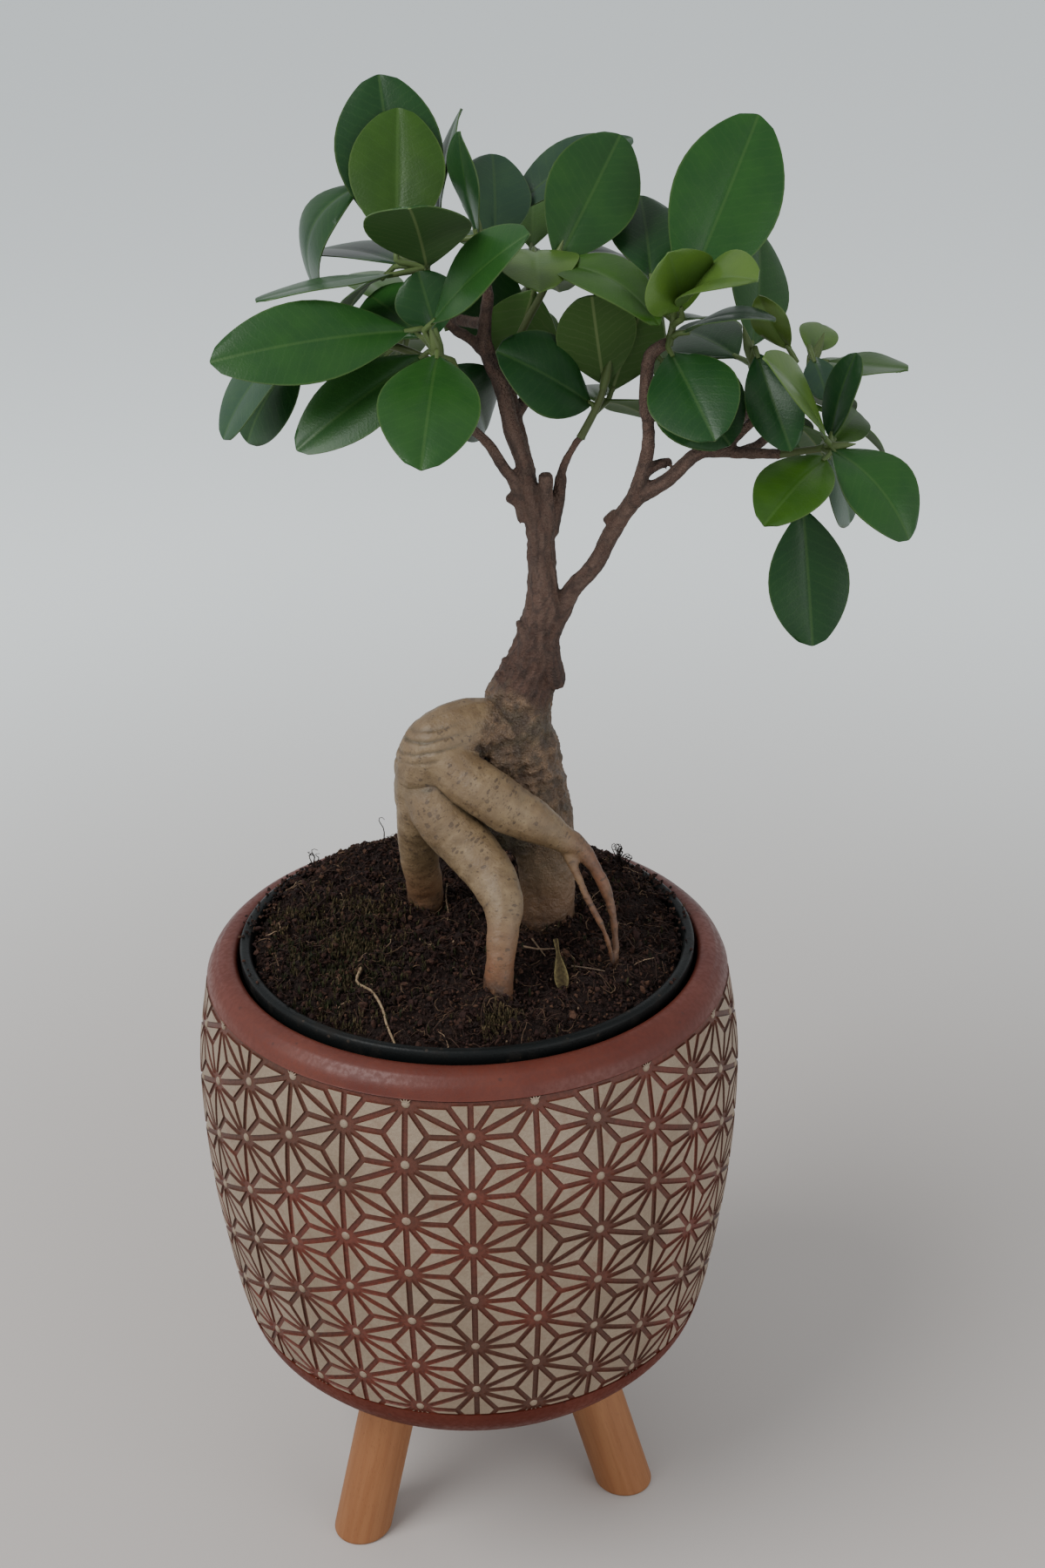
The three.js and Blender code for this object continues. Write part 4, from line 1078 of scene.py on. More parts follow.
def random_turn():
    return np.array(Matrix.Rotation(draw.uniform(0, 6.28), 3, "Z")
                    @ Matrix.Rotation(draw.uniform(0, 6.28), 3, "X")
                    @ Matrix.Rotation(draw.uniform(0, 6.28), 3, "Y"))


def soil_place(reach=SOIL_RADIUS):
    radius, angle = reach * math.sqrt(draw.random()), draw.uniform(0, 2 * math.pi)
    return radius * math.cos(angle), radius * math.sin(angle)


class Heap:
    """Collects points, faces and a tone for many small shapes that become one piece."""

    def __init__(self):
        self.points, self.faces, self.tones, self.count = [], [], [], 0

    def add(self, points, faces, tone):
        self.points.append(np.asarray(points, float))
        self.faces += [tuple(i + self.count for i in face) for face in faces]
        self.tones += [tone] * len(points)
        self.count += len(points)

    def piece(self, name):
        points = np.concatenate(self.points) + AXIS
        made = mesh_piece(name, points * MM, self.faces)
        set_attribute(made, "tone", self.tones)
        return made


EARTH_TONES = [(0.013, 0.0048, 0.0032), (0.024, 0.0088, 0.0062), (0.043, 0.018, 0.0112),
               (0.074, 0.035, 0.020), (0.20, 0.135, 0.085)]
CRUMBS_IN_POT = 8200
CRUMBS_SPILT = 1200
SPILL_REACH = 60.2
crumbs = Heap()
for i in range(CRUMBS_IN_POT + CRUMBS_SPILT):
    size = 0.25 + 0.45 * draw.random() + 0.8 * draw.random() ** 14
    tone = draw.choices(EARTH_TONES, (7, 7, 5, 2.0, 0.25 * (size < 0.5)))[0]
    shape, faces = draw.choice(crumb_kinds)
    if i < CRUMBS_IN_POT:
        x, y = soil_place(56.5)
        z = float(soil_height(x, y)) + 0.2 * size + draw.uniform(-0.3, 0.9)
    else:
        # Some has spilt onto the rim at the back.
        angle, out = draw.gauss(0, 0.75), draw.random() ** 1.5
        radius = 55.5 + (SPILL_REACH - 55.5) * out
        x, y = radius * math.sin(angle), radius * math.cos(angle)
        z = 179.0 - 1.2 * out - 1.6 * (1 - math.cos(angle)) + draw.uniform(-0.4, 0.3)
        z = max(z, 177.5 + 0.2 * size) if radius > 57 else z
    crumbs.add(shape @ random_turn() * size + (x, y, z), faces, tone)
crumb_piece = crumbs.piece("soil_crumbs")
smooth(crumb_piece, 25)
print(len(crumb_piece.data.polygons), "faces in the crumbs")

# %% Lay fibres


def thread(places, radii, sides=3):
    """Points and faces of a thin closed tube through some places."""
    places = [Vector(p) for p in places]
    points, faces, across = [], [], Vector((0.3, 0.8, 0.5))
    for i, (place, radius) in enumerate(zip(places, radii)):
        along = (places[min(i + 1, len(places) - 1)] - places[max(i - 1, 0)]).normalized()
        across = (across - across.dot(along) * along).normalized()
        other = along.cross(across)
        for k in range(sides):
            turn = 2 * math.pi * k / sides
            points.append(place + (across * math.cos(turn) + other * math.sin(turn)) * radius)
    for i in range(len(places) - 1):
        for k in range(sides):
            a, b = i * sides + k, i * sides + (k + 1) % sides
            faces.append((a, b, b + sides, a + sides))
    last = (len(places) - 1) * sides
    faces += [tuple(reversed(range(sides))), tuple(range(last, last + sides))]
    return points, faces


FIBRE_TONES = [(0.020, 0.010, 0.007), (0.048, 0.025, 0.016), (0.115, 0.070, 0.041), (0.24, 0.165, 0.105)]
FIBRES = 1300
fibres = Heap()
for i in range(FIBRES):
    x, y = soil_place(55)
    turn, bend, length = draw.uniform(0, 6.28), draw.uniform(-0.6, 0.6), draw.uniform(2, 8)
    places = []
    for k in range(6):
        lift = 0.4 + draw.uniform(0, 1.1)
        places.append((x, y, float(soil_height(x, y)) + lift))
        x, y = x + math.cos(turn) * length / 5, y + math.sin(turn) * length / 5
        turn += bend + draw.uniform(-0.3, 0.3)
        if math.hypot(x, y) > 55:
            turn += math.pi / 2
    thick = draw.uniform(0.06, 0.17)
    tone = draw.choices(FIBRE_TONES, (7, 6, 2.2, 0.5))[0]
    fibres.add(*thread(places, [thick] * 5 + [thick * 0.4]), tone)
print(fibres.count, "points in the fibres")

# %% Lay the roots and twigs that catch the eye


def resting(x, y, lift):
    return (x, y, float(soil_height(x, y)) + lift)


pale_root = [(-27.1, -24.4, 1.0), (-28, -30, 1.6), (-24, -36, 1.2), (-21.5, -41, 1.6), (-20, -48, 1.0),
             (-17.6, -53.5, 0.4)]
fine_root = [(-5.2, 14, 1), (-5.6, 8, 1.6), (-4.9, 2, 1), (-5.2, -5, 1.2)]
dead_twig = [(14, -19, 1.0), (18, -21, 1.8), (22, -20.4, 1.2)]
second_twig = [(16.4, -17.6, 1.4), (19.6, -23.4, 1.0)]
third_twig = [(26, -27, 1.2), (30, -25.4, 1.6), (34.6, -26.2, 1.0)]
for places, radius, tone in ((pale_root, 0.42, (0.26, 0.19, 0.115)), (fine_root, 0.26, (0.17, 0.115, 0.07)),
                             (dead_twig, 0.32, (0.19, 0.13, 0.085)), (second_twig, 0.26, (0.16, 0.11, 0.07)),
                             (third_twig, 0.24, (0.14, 0.10, 0.07))):
    line = curve_through([resting(*p) for p in places], 16)
    fibres.add(*thread(line, [radius * (1 - 0.4 * i / 16) for i in range(17)], 6), tone)
print(fibres.count, "points with the roots and twigs")

# %% Stand curled hairs near the rim
# Each row is x, y, height, curl, and how many of them stand together.
HAIRS = ((43, 35.6, 6.5, 0.8, 9), (45, 33.5, 4.5, 0.9, 7), (-42.5, 36, 6, 0.8, 4),
         (-23, 45, 8, 0.9, 1), (-18.6, 45, 11, 0.7, 1))
HAIR_TONE = (0.016, 0.009, 0.007)
for x, y, tall, curl, count in HAIRS:
    spread = 1 if count > 1 else 0
    for k in range(count):
        turn, lean, high = draw.uniform(0, 6.28), draw.uniform(-1.6, 1.6), tall * draw.uniform(0.75, 1.0)
        foot = resting(x + draw.uniform(-1, 1) * spread, y + draw.uniform(-1, 1) * spread, 0)
        line = []
        for j in range(9):
            sideways = curl * math.sin(turn + j) * j / 6 + lean * j / 8
            backwards = curl * math.cos(turn + j) * j / 6
            line.append((foot[0] + sideways, foot[1] + backwards, foot[2] + high * math.sin(0.24 * j)))
        fibres.add(*thread(line, [0.24 - 0.018 * j for j in range(9)]), HAIR_TONE)
fibre_piece = fibres.piece("soil_fibres")
smooth(fibre_piece, 60)
print(len(HAIRS), "places with hairs,", fibres.count, "points in all")

# %% Plant moss
MOSS_TONES = [(0.018, 0.022, 0.007), (0.030, 0.032, 0.010), (0.045, 0.038, 0.014), (0.060, 0.042, 0.020)]
moss = Heap()
MOSS_SPOTS = [(-30, -13, 3.5), (-33, -46, 4), (7, -47, 3), (-24, 4, 5), (-44, 8, 6)]
MOSS_TUFTS = 1500
for i in range(MOSS_TUFTS):
    tone = draw.choice(MOSS_TONES)
    if draw.random() < 0.5:
        x, y = draw.gauss(-33, 11), draw.gauss(-20, 15)
    elif draw.random() < 0.75:
        spot_x, spot_y, spread = draw.choice(MOSS_SPOTS)
        x, y = draw.gauss(spot_x, spread), draw.gauss(spot_y, spread * 0.7)
        tone = draw.choice(MOSS_TONES[2:] + [(0.10, 0.072, 0.034)])
    else:
        x, y = soil_place(54)
    if math.hypot(x, y) > 55:
        continue
    foot = np.array(resting(x, y, 0.0))
    for k in range(3):
        lean = np.array((draw.uniform(-1, 1), draw.uniform(-1, 1), 0))
        tall, wide = draw.uniform(1.0, 2.6), draw.uniform(0.14, 0.3)
        side = np.array((-lean[1], lean[0], 0)) / (np.hypot(*lean[:2]) + 0.01) * wide
        tip = foot + lean * 0.8 + (0, 0, tall)
        middle = foot + lean * 0.3 + (0, 0, tall * 0.6)
        thick = lean / (np.hypot(*lean[:2]) + 0.01) * 0.12
        moss.add([foot - side, foot + side, foot + thick, middle - side, middle + side, middle + thick, tip],
                 [(0, 2, 1), (0, 1, 4, 3), (1, 2, 5, 4), (2, 0, 3, 5), (3, 4, 6), (4, 5, 6), (5, 3, 6)], tone)
moss_piece = moss.piece("soil_moss")
print(moss.count, "points in the moss")

# %% Give crumbs, fibres and moss their material
litter, tree, shader = new_material("litter", 0.85, Specular_IOR_Level=0.25)
fine = clouds(tree, 0.8)
tone = attribute(tree, "tone")
darker = mix(tree, 1.0, tone, (0.55, 0.52, 0.5), "MULTIPLY")
colour(tree, shader, mix(tree, fine, darker, tone))
relief(tree, shader, fine, 0.15)
for piece in (crumb_piece, fibre_piece, moss_piece):
    dress(piece, "soil", [], litter)

# %% [markdown]
# ## The leaves: where each one grows
# A leaf is placed by the base and the tip of its blade, its width, the way its upper face
# looks, how far it arches and how far its sides fold up. The rows are the CAD's, with one
# letter more for the leaf's green: d dark, m middle, o olive, y yellow-green, and g greyish,
# which is a painted sheen of the pale room on the leaf's colour.

# %% Rows of the leaves, shoot by shoot
LEAVES = {
    "shoot_left_top": ([(-1.5, 5.6, 335.6), (-4, 6, 342), (-6, 7, 347), (-7, 8, 350)], [
        ((-12.3, 14, 353), (-16.5, 30, 390), 25.5, (0.1, -1, 0.3), 0.05, 0.1, "d"),
        ((-13, 8, 353), (-12, 24, 383), 22.5, (0, -1, 0.35), 0.05, 0.1, "o"),
        ((-6, 3, 350), (-9, -28, 368), 24, (0, 0.6, 0.9), 0.05, 0.1, "m"),
        ((-20, 19.6, 366.5), (-32.5, 20.6, 341), 19, (-0.85, -0.4, 0.3), 0.28, 0, "d"),
        ((-12, 12, 349), (-33, 32, 349), 20, (-0.1, 0.05, 1), 0.05, 0.1, "g"),
        ((-16, 14, 346), (-26, 22, 336), 12, (-0.4, 0.1, 0.8), 0.1, 0.1, "g"),
        ((-14, 4, 348), (-45, -10, 345), 20, (0.1, 0.15, 1), 0.03, 0.05, "m")]),
    "shoot_left_front": ([(1.8, -3.6, 315), (-1, -6, 322), (-3, -9, 329), (-4, -10, 333)], [
        ((-10, -10, 338), (-55, -22, 334), 20, (0, -0.8, 0.6), 0.06, 0.05, "m"),
        ((-7, -8, 332), (-37, -18, 312.5), 17, (-0.3, -0.8, 0.5), 0.04, 0.1, "m"),
        ((-4, -13, 333), (-8, -42, 314), 23, (0, -0.8, 0.6), 0.08, 0.08, "m"),
        ((0, -6, 329), (7, 14, 308), 17, (0.4, -0.8, 0.3), 0.05, 0.1, "d"),
        ((-5, -12, 340), (17, -26, 362), 20, (-0.85, -0.3, 0.5), 0.05, 0.2, "m"),
        ((-8, -4, 335.5), (-20, 16, 341), 19, (-0.2, -0.6, 0.8), 0.05, 0.1, "m"),
        ((-4, -5, 336), (-8, -2, 350), 15, (0, -0.9, 0.2), 0.05, 0.1, "d")]),
    "shoot_left_low": ([(-5, -3, 329), (-13, 0, 332), (-23, 4, 333), (-31, 6, 334)], [
        ((-36, 2, 334), (-55, -2, 311), 17, (-0.8, -0.5, 0.4), 0.1, 0.1, "g"),
        ((-36, 10, 330), (-51, 14, 306), 17, (-0.4, -0.8, 0.4), 0.1, 0.1, "d")]),
    "shoot_middle_top": ([(7.8, 8, 344.4), (7, 10, 350), (6, 12, 356)], [
        ((-3, 18, 357), (3, 30, 382), 15, (-1, -0.25, 0.1), 0.06, 0.1, "d"),
        ((6, 8, 356), (2, 3, 380), 16, (-0.9, -0.4, 0.1), 0.03, 0.1, "d"),
        ((10, 16, 352), (10, 34, 371), 18, (0.2, -0.6, 0.6), 0.05, 0.1, "g"),
        ((12.5, 28, 356.5), (45, 44, 373), 15, (-0.3, -0.6, 0.7), 0.1, 0.1, "g"),
        ((9, 26, 350), (6, 32, 326), 19, (0.1, -0.8, 0.5), 0.05, 0.1, "d")]),
    "shoot_centre": ([(12, 4, 325.4), (16, 4, 335), (21, 4, 344), (23, 4, 349)], [
        ((24, 4, 350), (40, 22, 376.6), 22, (0.1, -1, 0.35), 0.05, 0.1, "m"),
        ((20, -7, 351), (46, -20, 340), 18, (0.1, -0.32, 0.95), 0.18, 0.1, "o"),
        ((19, 8, 352), (19, -20, 348), 19, (0, -0.3, 1), 0.1, 0.15, "y"),
        ((27, 8, 351), (47, 20, 345), 14, (0, -0.1, 1), 0.1, 0.1, "m"),
        ((19, 10, 343), (12, 13, 322), 18, (0.3, 0.7, 0.5), 0.05, 0.1, "o")]),
    "shoot_twig": ([(29.8, 0, 310.6), (34, 0, 319), (35, 0, 323)], [
        ((32, 0, 318), (9, -14, 334), 20, (0.1, -0.8, 0.6), 0.05, 0.1, "d"),
        ((35, 2, 322), (31, -12, 346), 19, (-0.1, 0.8, 0.6), 0.05, 0.1, "o"),
        ((37, 4, 320), (44, -4, 343), 16, (0.2, 0.8, 0.6), 0.05, 0.1, "o"),
        ((35, 4, 318), (49, 18, 309), 14, (-0.1, 0.25, 1), 0.05, 0.1, "o"),
        ((34, 8, 317), (31, 26, 316), 13, (0, 0.3, 1), 0.05, 0.1, "o")]),
    "shoot_right_inner": ([(49, -10, 334.6), (49.5, -10, 337), (50, -11, 341)], [
        ((53, -4, 343.5), (71.2, 14, 381.8), 26, (0.1, -1, 0.3), 0.03, 0.1, "m"),
        ((46, 4, 346), (45, 26, 362), 18, (0.1, -0.8, 0.5), 0.05, 0.1, "d"),
        ((51, -14, 343), (66, -31, 352), 17, (-0.2, -0.4, 1), 0.15, 0.3, "y"),
        ((51, -15, 342.5), (47, -23, 357), 19, (0.1, -0.8, 0.5), 0.05, 0.2, "y"),
        ((52, -12, 337), (72, -20, 341), 15, (0.1, -0.05, 1), 0.12, 0.1, "g"),
        ((49, -14, 333), (57, -36, 318), 21, (-0.1, -0.85, 0.5), 0.05, 0.1, "d"),
        ((48, -4, 329), (63, -18, 312), 22, (0, -0.85, 0.5), 0.05, 0.1, "d")]),
    "shoot_right_upper": ([(71.4, -8, 317.6), (70, -8, 324), (68, -8, 331)], [
        ((70, 4, 330), (73, 22, 354), 20, (0.6, -0.8, 0.2), 0.05, 0.1, "m"),
        ((77, -8, 332), (69, -10, 345), 9, (-0.6, -0.4, 0.6), 0.08, 0.1, "y"),
        ((66, -2, 329), (54, 20, 331), 18, (0, -0.6, 0.8), 0.05, 0.1, "d"),
        ((69, -11, 332), (76, -24, 312), 13, (-0.2, -0.9, 0.4), 0.05, 0.1, "d")]),
    "shoot_right_end": ([(75.6, -10.6, 308), (80, -12, 309), (86, -13, 310)], [
        ((85, -17, 313), (67, -33, 336), 16, (0.6, -0.4, 0.7), 0.05, 0.2, "y"),
        ((87, -12, 312), (93, -7, 331), 13, (-0.8, -0.35, 0.3), 0.05, 0.1, "d"),
        ((87, -14, 310), (104, -26, 291), 20, (0.4, -0.75, 0.5), 0.15, 0.1, "m"),
        ((89, -4, 309), (98, 12, 312), 11, (0, -0.8, 0.6), 0.05, 0.1, "o"),
        ((85, -18, 309), (68, -38, 299), 17, (-0.3, -0.7, 0.6), 0.05, 0.25, "o"),
        ((81, -14, 296), (84, -20, 263), 19.5, (0, -1, 0.2), 0.03, 0.1, "d"),
        ((88, -4, 306), (96, 4, 286), 15, (0.6, -0.6, 0.3), 0.05, 0.1, "g")]),
    "shoot_right_back": ([(79, 4, 312.6), (84, 10, 319), (87, 14, 325)], [
        ((89, 14, 324), (108, 4, 324), 17, (0, -0.1, 1), 0, 0.1, "o"),
        ((86, 14, 326), (91, 28, 330), 10, (0, -0.8, 0.6), 0.05, 0.15, "y"),
        ((85, 6, 327), (88, -1, 318), 9, (0.1, -0.85, 0.5), 0.05, 0.1, "g")]),
}
print(len(LEAVES), "shoots on the near side")

# %% The far side's leaves are set round their stems by rule
FAR_SHOOTS = {
    "shoot_back_left": ([(-5.4, 25.6, 334), (-8, 29, 333), (-11, 32, 331)], 32, (-100, 5), (-50, 5)),
    "shoot_back_middle": ([(18.2, 28.6, 333.4), (18.5, 32, 338), (19, 34, 342)], 33, (-45, 25), (-40, 24)),
    "shoot_back_centre": ([(49, 24.6, 331.4), (50, 27, 333), (51, 29, 334)], 33, (-30, 50), (-40, 20)),
    "shoot_back_right": ([(77.4, 22.6, 315.2), (79, 26, 315), (82, 29, 315)], 32, (-5, 85), (-50, -6)),
}
FAR_LEAVES = 6
for name, (stem, size, turns, rises) in FAR_SHOOTS.items():
    rows = []
    for k in range(FAR_LEAVES):
        share, step = (k + 1) * 0.618 % 1, k / (FAR_LEAVES - 1)
        turn = math.radians(turns[0] + (turns[1] - turns[0]) * share)
        rise = math.radians(rises[0] + (rises[1] - rises[0]) * step)
        outwards = Vector((math.sin(turn) * math.cos(rise), math.cos(turn) * math.cos(rise), math.sin(rise)))
        base = Vector(stem[-1]) + Vector((0, 0, -4 + 6 * step)) + 8 * outwards
        length = size * (0.86 + 0.14 * math.cos(2.4 * k))
        face = (-math.sin(turn) * math.sin(rise), -math.cos(turn) * math.sin(rise), math.cos(rise))
        rows.append((base, base + length * outwards, length * 0.54, face, 0.07, 0.12, "mdodmo"[k]))
    LEAVES[name] = (stem, rows)
print(sum(len(rows) for stem, rows in LEAVES.values()), "leaves")

# %% [markdown]
# ## The leaves: one master blade
# Every leaf of this ficus has the same build, so one flat blade is modelled with enough
# faces to bend well: a grid with more of them near the midrib, given thickness. Copies of
# it are then bent by formula. The midrib is a channel above and a ridge below, the edges
# wave a little, and no two leaves wave alike.

# %% Make the master blade
BLADE_THICKNESS = 0.5
LEAF_END = 0.986  # the blade stops here, a little short of the point
TIP_ROUNDING = 0.045  # how far the corners of the blade's end draw back
bpy.ops.mesh.primitive_grid_add(x_subdivisions=20, y_subdivisions=10, size=2)
blade = added("master_blade")
apply_modifier(blade, "SOLIDIFY", thickness=0.2, offset=0)
blade_grid = points_of(blade)
blade_faces = [tuple(f.vertices) for f in blade.data.polygons]
bpy.data.objects.remove(blade)
t = (blade_grid[:, 0] + 1) / 2
U = (0.35 * t + 0.65 * (0.5 - 0.5 * np.cos(np.pi * t))) * LEAF_END
V = np.sign(blade_grid[:, 1]) * np.abs(blade_grid[:, 1]) ** 1.35
U -= TIP_ROUNDING * V ** 2 * U ** 12
W = np.sign(blade_grid[:, 2])
print(len(blade_faces), "faces in one blade")

# The g green is greyish and bluer: a painted sheen of the pale room on the leaf's colour.
GREENS = {"d": (0.007, 0.033, 0.008), "m": (0.011, 0.048, 0.009), "o": (0.019, 0.056, 0.005),
          "y": (0.045, 0.088, 0.015), "g": (0.018, 0.046, 0.024)}


def unit(vector):
    return np.asarray(vector, float) / np.linalg.norm(vector)


def bend_blade(base, tip, width, face, arch, fold, wave, phase, fullest=1.1):
    """The master blade's points, laid along a leaf's row."""
    base, tip = np.array(base, float), np.array(tip, float)
    length, along = np.linalg.norm(tip - base), unit(tip - base)
    up = np.array(face, float)
    up = unit(up - up @ along * along)
    side = np.cross(along, up)
    run = along + np.outer(arch * 4 * (1 - 2 * U), up)
    run /= np.linalg.norm(run, axis=1)[:, None]
    skin = np.cross(side, run)
    reach = np.sin(np.pi * U ** fullest) ** (0.78 - 0.14 * U) * width / 2
    reach = np.maximum(reach, 0.55 * (1 - U) + 0.05)
    across = V * reach
    lift = fold * reach * (np.sqrt(V * V + 0.01) - 0.1) - 0.05 * reach * np.abs(V) ** 4
    lift -= 0.38 * np.exp(-(across / 0.7) ** 2) * (1 - 0.6 * U)
    lift += wave * V * V * np.sin(U * 8 + phase + 1.5 * np.sign(V))
    lift += W * BLADE_THICKNESS / 2 * (0.55 + 0.45 * (1 - V ** 4))
    middle = base + np.outer(length * U, along) + np.outer(arch * length * 4 * U * (1 - U), up)
    points = middle + np.outer(across, side) + skin * lift[:, None]
    return points, np.stack([U * length, across, W], axis=1), np.abs(V)


# %% What a shoot keeps
STALK_REACH = 6
leaf_draw = random.Random(5)


class Shoot(Heap):
    """A heap whose points also know where they lie on a blade."""

    def __init__(self):
        super().__init__()
        self.blades, self.rims, self.kinds = [], [], []

    def add_part(self, points, faces, tone, kind, blade=None, rim=None):
        self.add(points, faces, tone)
        self.kinds += [kind] * len(faces)
        self.blades.append(np.zeros((len(points), 3)) if blade is None else blade)
        self.rims.append(np.zeros(len(points)) if rim is None else rim)

    def piece(self, name):
        made = super().piece(name)
        set_attribute(made, "blade", np.concatenate(self.blades))
        set_attribute(made, "rim", np.concatenate(self.rims))
        made.data.polygons.foreach_set("material_index", self.kinds)
        return made


# %% Build the shoots: stem, stalks, blades and bud


def node_on_stem(stem, wanted, order):
    """The stem's place nearest to a stalk's start, with a small shift for each leaf."""
    best = catmull(stem, 0.97 - 0.05 * order)
    for i in range(20):
        place = catmull(stem, (i + 0.11 * order) / 21)
        if (place - wanted).length < (best - wanted).length:
            best = place
    return best


def varied(tone, spread):
    shade = leaf_draw.uniform(1 - spread, 1 + spread)
    return tuple(c * shade * leaf_draw.uniform(0.95, 1.05) for c in tone)


STALK_GREEN = (0.032, 0.050, 0.013)
STEM_GREEN = (0.034, 0.027, 0.014)
BUD_GREEN = (0.042, 0.056, 0.018)


def add_leaf(shoot, stem, row, order):
    base, tip, width, face, arch, fold, green = row
    base, tip = Vector(base), Vector(tip)
    along = (tip - base).normalized()
    node = node_on_stem(stem, base - along * STALK_REACH, order)
    bend = base - along * 0.35 * (base - node).length
    line = [node.lerp(bend, k / 3) for k in range(3)]
    line += [bend.lerp(base + along * 1.5, k / 2) for k in range(3)]
    points, faces = thread(curve_through(line, 8), [0.85 - 0.03 * k for k in range(9)], 8)
    shoot.add_part(points, faces, varied(STALK_GREEN, 0.15), 1)
    points, blade, rim = bend_blade(base, tip, width, face, arch, fold,
                                    leaf_draw.uniform(0.15, 0.5), leaf_draw.uniform(0, 6.28))
    shoot.add_part(points, blade_faces, varied(GREENS[green], 0.12), 0, blade, rim)


def build_shoot(name, stem, rows):
    shoot = Shoot()
    start = Vector(stem[0])
    stem_line = curve_through([start - (Vector(stem[1]) - start).normalized() * 0.8] + list(stem), 12)
    points, faces = thread(stem_line, [1.15 - 0.03 * k for k in range(13)], 10)
    shoot.add_part(points, faces, STEM_GREEN, 1)
    end = Vector(stem[-1])
    onwards = (end - Vector(stem[-2])).normalized()
    sheath = [end + onwards * step for step in (-1.5, 0, 1.5, 3, 4.5, 5.8, 6.8)]
    points, faces = thread(sheath, (0.9, 1.15, 1.2, 1.0, 0.7, 0.4, 0.12), 10)
    shoot.add_part(points, faces, BUD_GREEN, 1)
    for order, row in enumerate(rows):
        add_leaf(shoot, stem, row, order)
    piece = shoot.piece("leafy_" + name)
    smooth(piece, 75)
    return piece


# %% [markdown]
# ## The leaves: colour
# The upper face is dark and waxy, the lower one pale and dull. The midrib is a pale line
# that fades towards the tip, fine side veins leave it at a slant, and the very edge is
# pale. The material reads each point's place on its own blade, in millimetres.

# %% Leaf material
VEIN_STEP = 2.4
leaf_skin, tree, shader = new_material("leaf_skin", 0.36, Specular_IOR_Level=0.22)
tone = attribute(tree, "tone")
along, across, side = attribute_parts(tree, "blade")
rim = attribute(tree, "rim", "Fac")
away = math_node(tree, "ABSOLUTE", across)
upper = ramp(tree, side, -0.2, 0.2)
midrib = ramp(tree, away, 0.16, 0.48, 1.0, 0.0)
slant = math_node(tree, "SUBTRACT", along, math_node(tree, "MULTIPLY", away, 0.62))
blade_place = attribute(tree, "blade")
wander = add_node(tree, "TexNoise", {"Vector": blade_place, "Scale": 0.5, "Detail": 1.0}).outputs[0]
slant = math_node(tree, "ADD", slant, math_node(tree, "MULTIPLY", wander, 1.6))
veins = math_node(tree, "SINE", math_node(tree, "MULTIPLY", slant, 2 * math.pi / VEIN_STEP))
veins = ramp(tree, veins, 0.72, 1.0)
grain = clouds(tree, 0.5)
brighter = mix(tree, 1.0, tone, (1.5, 1.35, 1.1), "MULTIPLY")
upper_green = layered(tree, tone, (clouds(tree, 7), 0.6, brighter), (veins, 0.07, (0.045, 0.095, 0.024)),
                      (midrib, 0.24, (0.060, 0.115, 0.030)))
lower_green = mix(tree, 0.4, tone, (0.048, 0.095, 0.024))
lower_green = layered(tree, lower_green, (veins, 0.3, (0.060, 0.092, 0.030)),
                      (midrib, 0.8, (0.095, 0.130, 0.045)))
whole = mix(tree, upper, lower_green, upper_green)
colour(tree, shader, layered(tree, whole, (ramp(tree, rim, 0.95, 1.0), 0.32, (0.085, 0.130, 0.036))))
tree.links.new(ramp(tree, upper, 0, 1, 0.58, 0.33), shader.inputs["Roughness"])
relief(tree, shader, math_node(tree, "SUBTRACT", grain, math_node(tree, "MULTIPLY", veins, 0.5)), 0.012)
print("leaf_skin:", len(tree.nodes), "nodes")

# %% Stalk material
green_stem, tree, shader = new_material("green_stem", 0.45)
fine = clouds(tree, 1.0)
colour(tree, shader, layered(tree, attribute(tree, "tone"), (fine, 0.4, (0.050, 0.036, 0.016))))
relief(tree, shader, fine, 0.06)
print("green_stem:", len(tree.nodes), "nodes")

# %% Build and dress every shoot
for name, (stem, rows) in LEAVES.items():
    slot = "young_leaf" if name in ("shoot_centre", "shoot_right_back") else "leaf"
    dress(build_shoot(name, stem, rows), slot, [name], leaf_skin, green_stem)

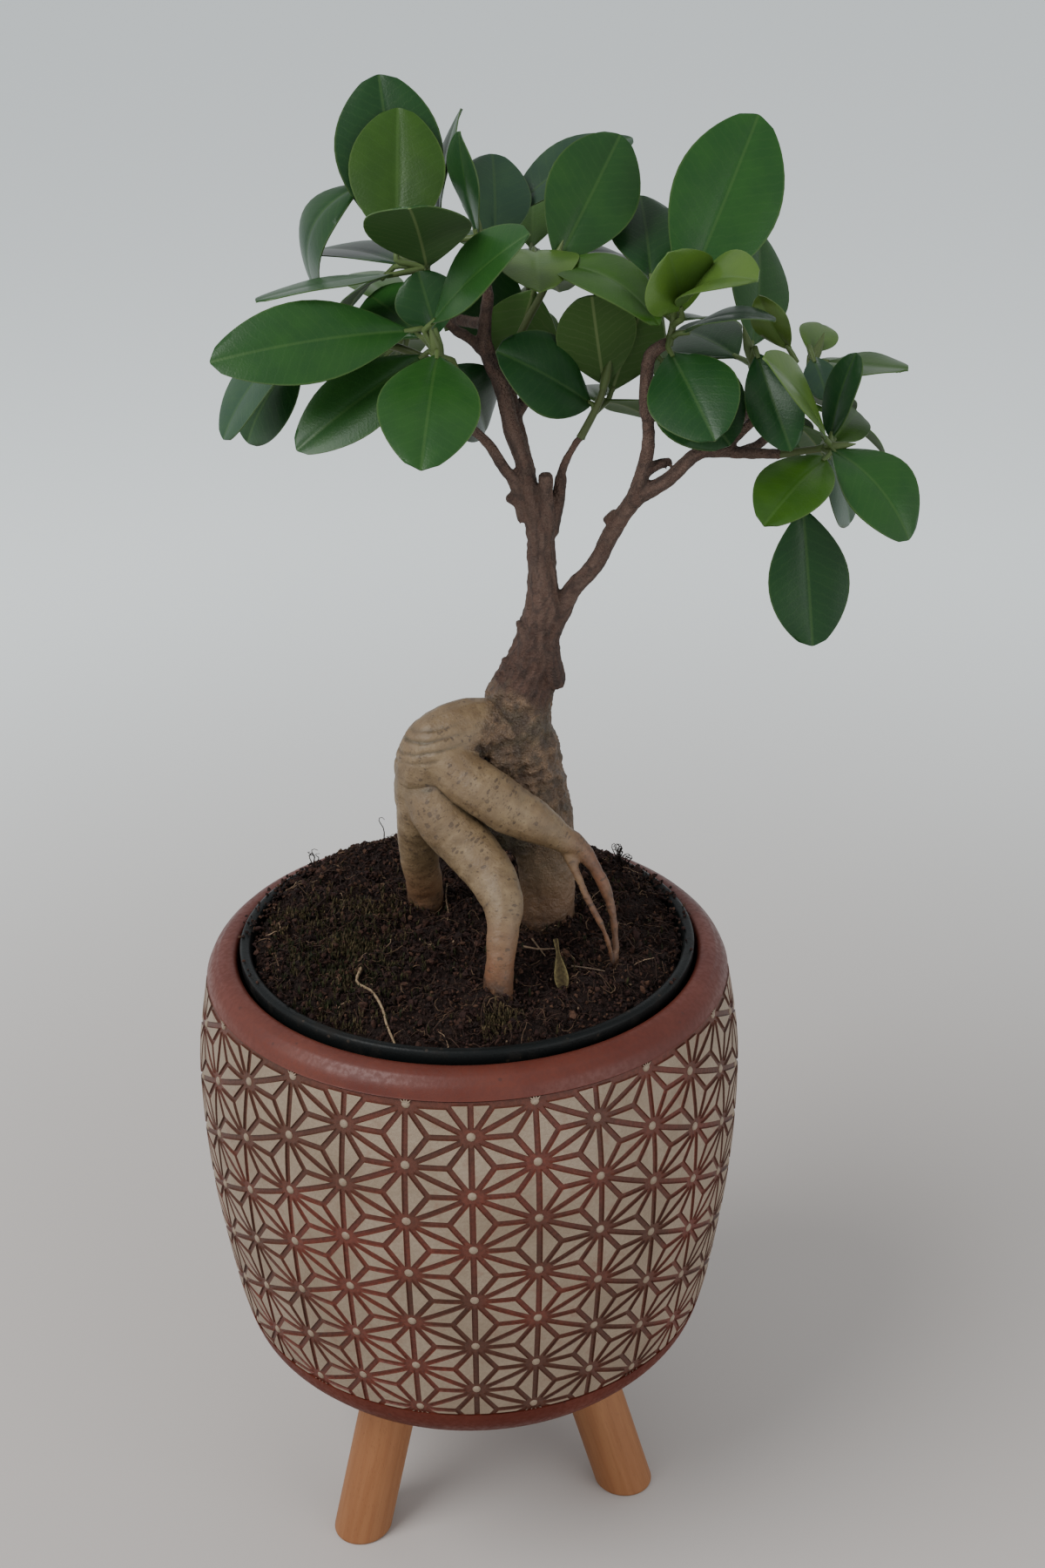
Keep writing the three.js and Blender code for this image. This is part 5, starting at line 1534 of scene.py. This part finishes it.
# %% [markdown]
# ## A small leaf in the soil
# A young leaf has dropped and stands in the peat on its wide end, dry and olive brown.
# It is one more copy of the master blade.

# %% Stand the dropped leaf in the soil
DRY_LEAF, DRY_RIM = np.array((0.050, 0.036, 0.014)), np.array((0.150, 0.120, 0.050))
dropped = Heap()
points, blade, rim = bend_blade((22.0, -27.5, 189.4), (23.7, -33.5, 177.6), 3.6, (-0.15, -0.8, 0.55),
                                -0.05, 0.35, 0.1, 1.0, fullest=2.3)
dropped.add(points, blade_faces, (0, 0, 0))
dropped.tones = [DRY_LEAF + (DRY_RIM - DRY_LEAF) * share ** 3 for share in rim]
dropped_leaf = dropped.piece("dropped_leaf")
smooth(dropped_leaf, 75)
dress(dropped_leaf, "soil", [], litter)

# %% [markdown]
# ## Floor and light
# The plant stands on a plain pale floor, with painted shade that darkens it round the
# plant's feet. A large soft light from the upper left acts as a window, a weaker one fills
# in low from the right, and the pale world lights the rest.

# %% Floor, lights and world
bpy.ops.object.select_all(action="DESELECT")
bpy.ops.mesh.primitive_plane_add(size=60)
floor = added("floor")
floor_with_painted_shade, tree, shader = new_material("floor_with_painted_shade", 0.9)
# Painted shade: the floor is darker near the plant and fades to pale about a metre away.
away = add_node(tree, "VectorMath", {0: object_place(tree)}, operation="LENGTH").outputs["Value"]
colour(tree, shader, mix(tree, ramp(tree, away, 0.12, 1.0), (0.45, 0.415, 0.39), (0.95, 1.0, 0.995)))
floor.data.materials.append(floor_with_painted_shade)


def soft_light(name, place, power, size):
    bpy.ops.object.light_add(type="AREA", location=at(*place))
    light = added(name)
    light.data.shape = "DISK"
    light.data.size = size
    light.data.energy = power
    light.rotation_euler = (at(0, 0, 200) - at(*place)).to_track_quat("-Z", "Y").to_euler()


soft_light("window", (-900, -600, 1300), 24, 1.0)
soft_light("fill", (1050, -950, 330), 8, 1.2)
world = bpy.data.worlds.new("pale_room")
bpy.context.scene.world = world
world.use_nodes = True
background = world.node_tree.nodes["Background"].inputs
background["Color"].default_value = (0.94, 0.97, 1.0, 1)
background["Strength"].default_value = 0.78
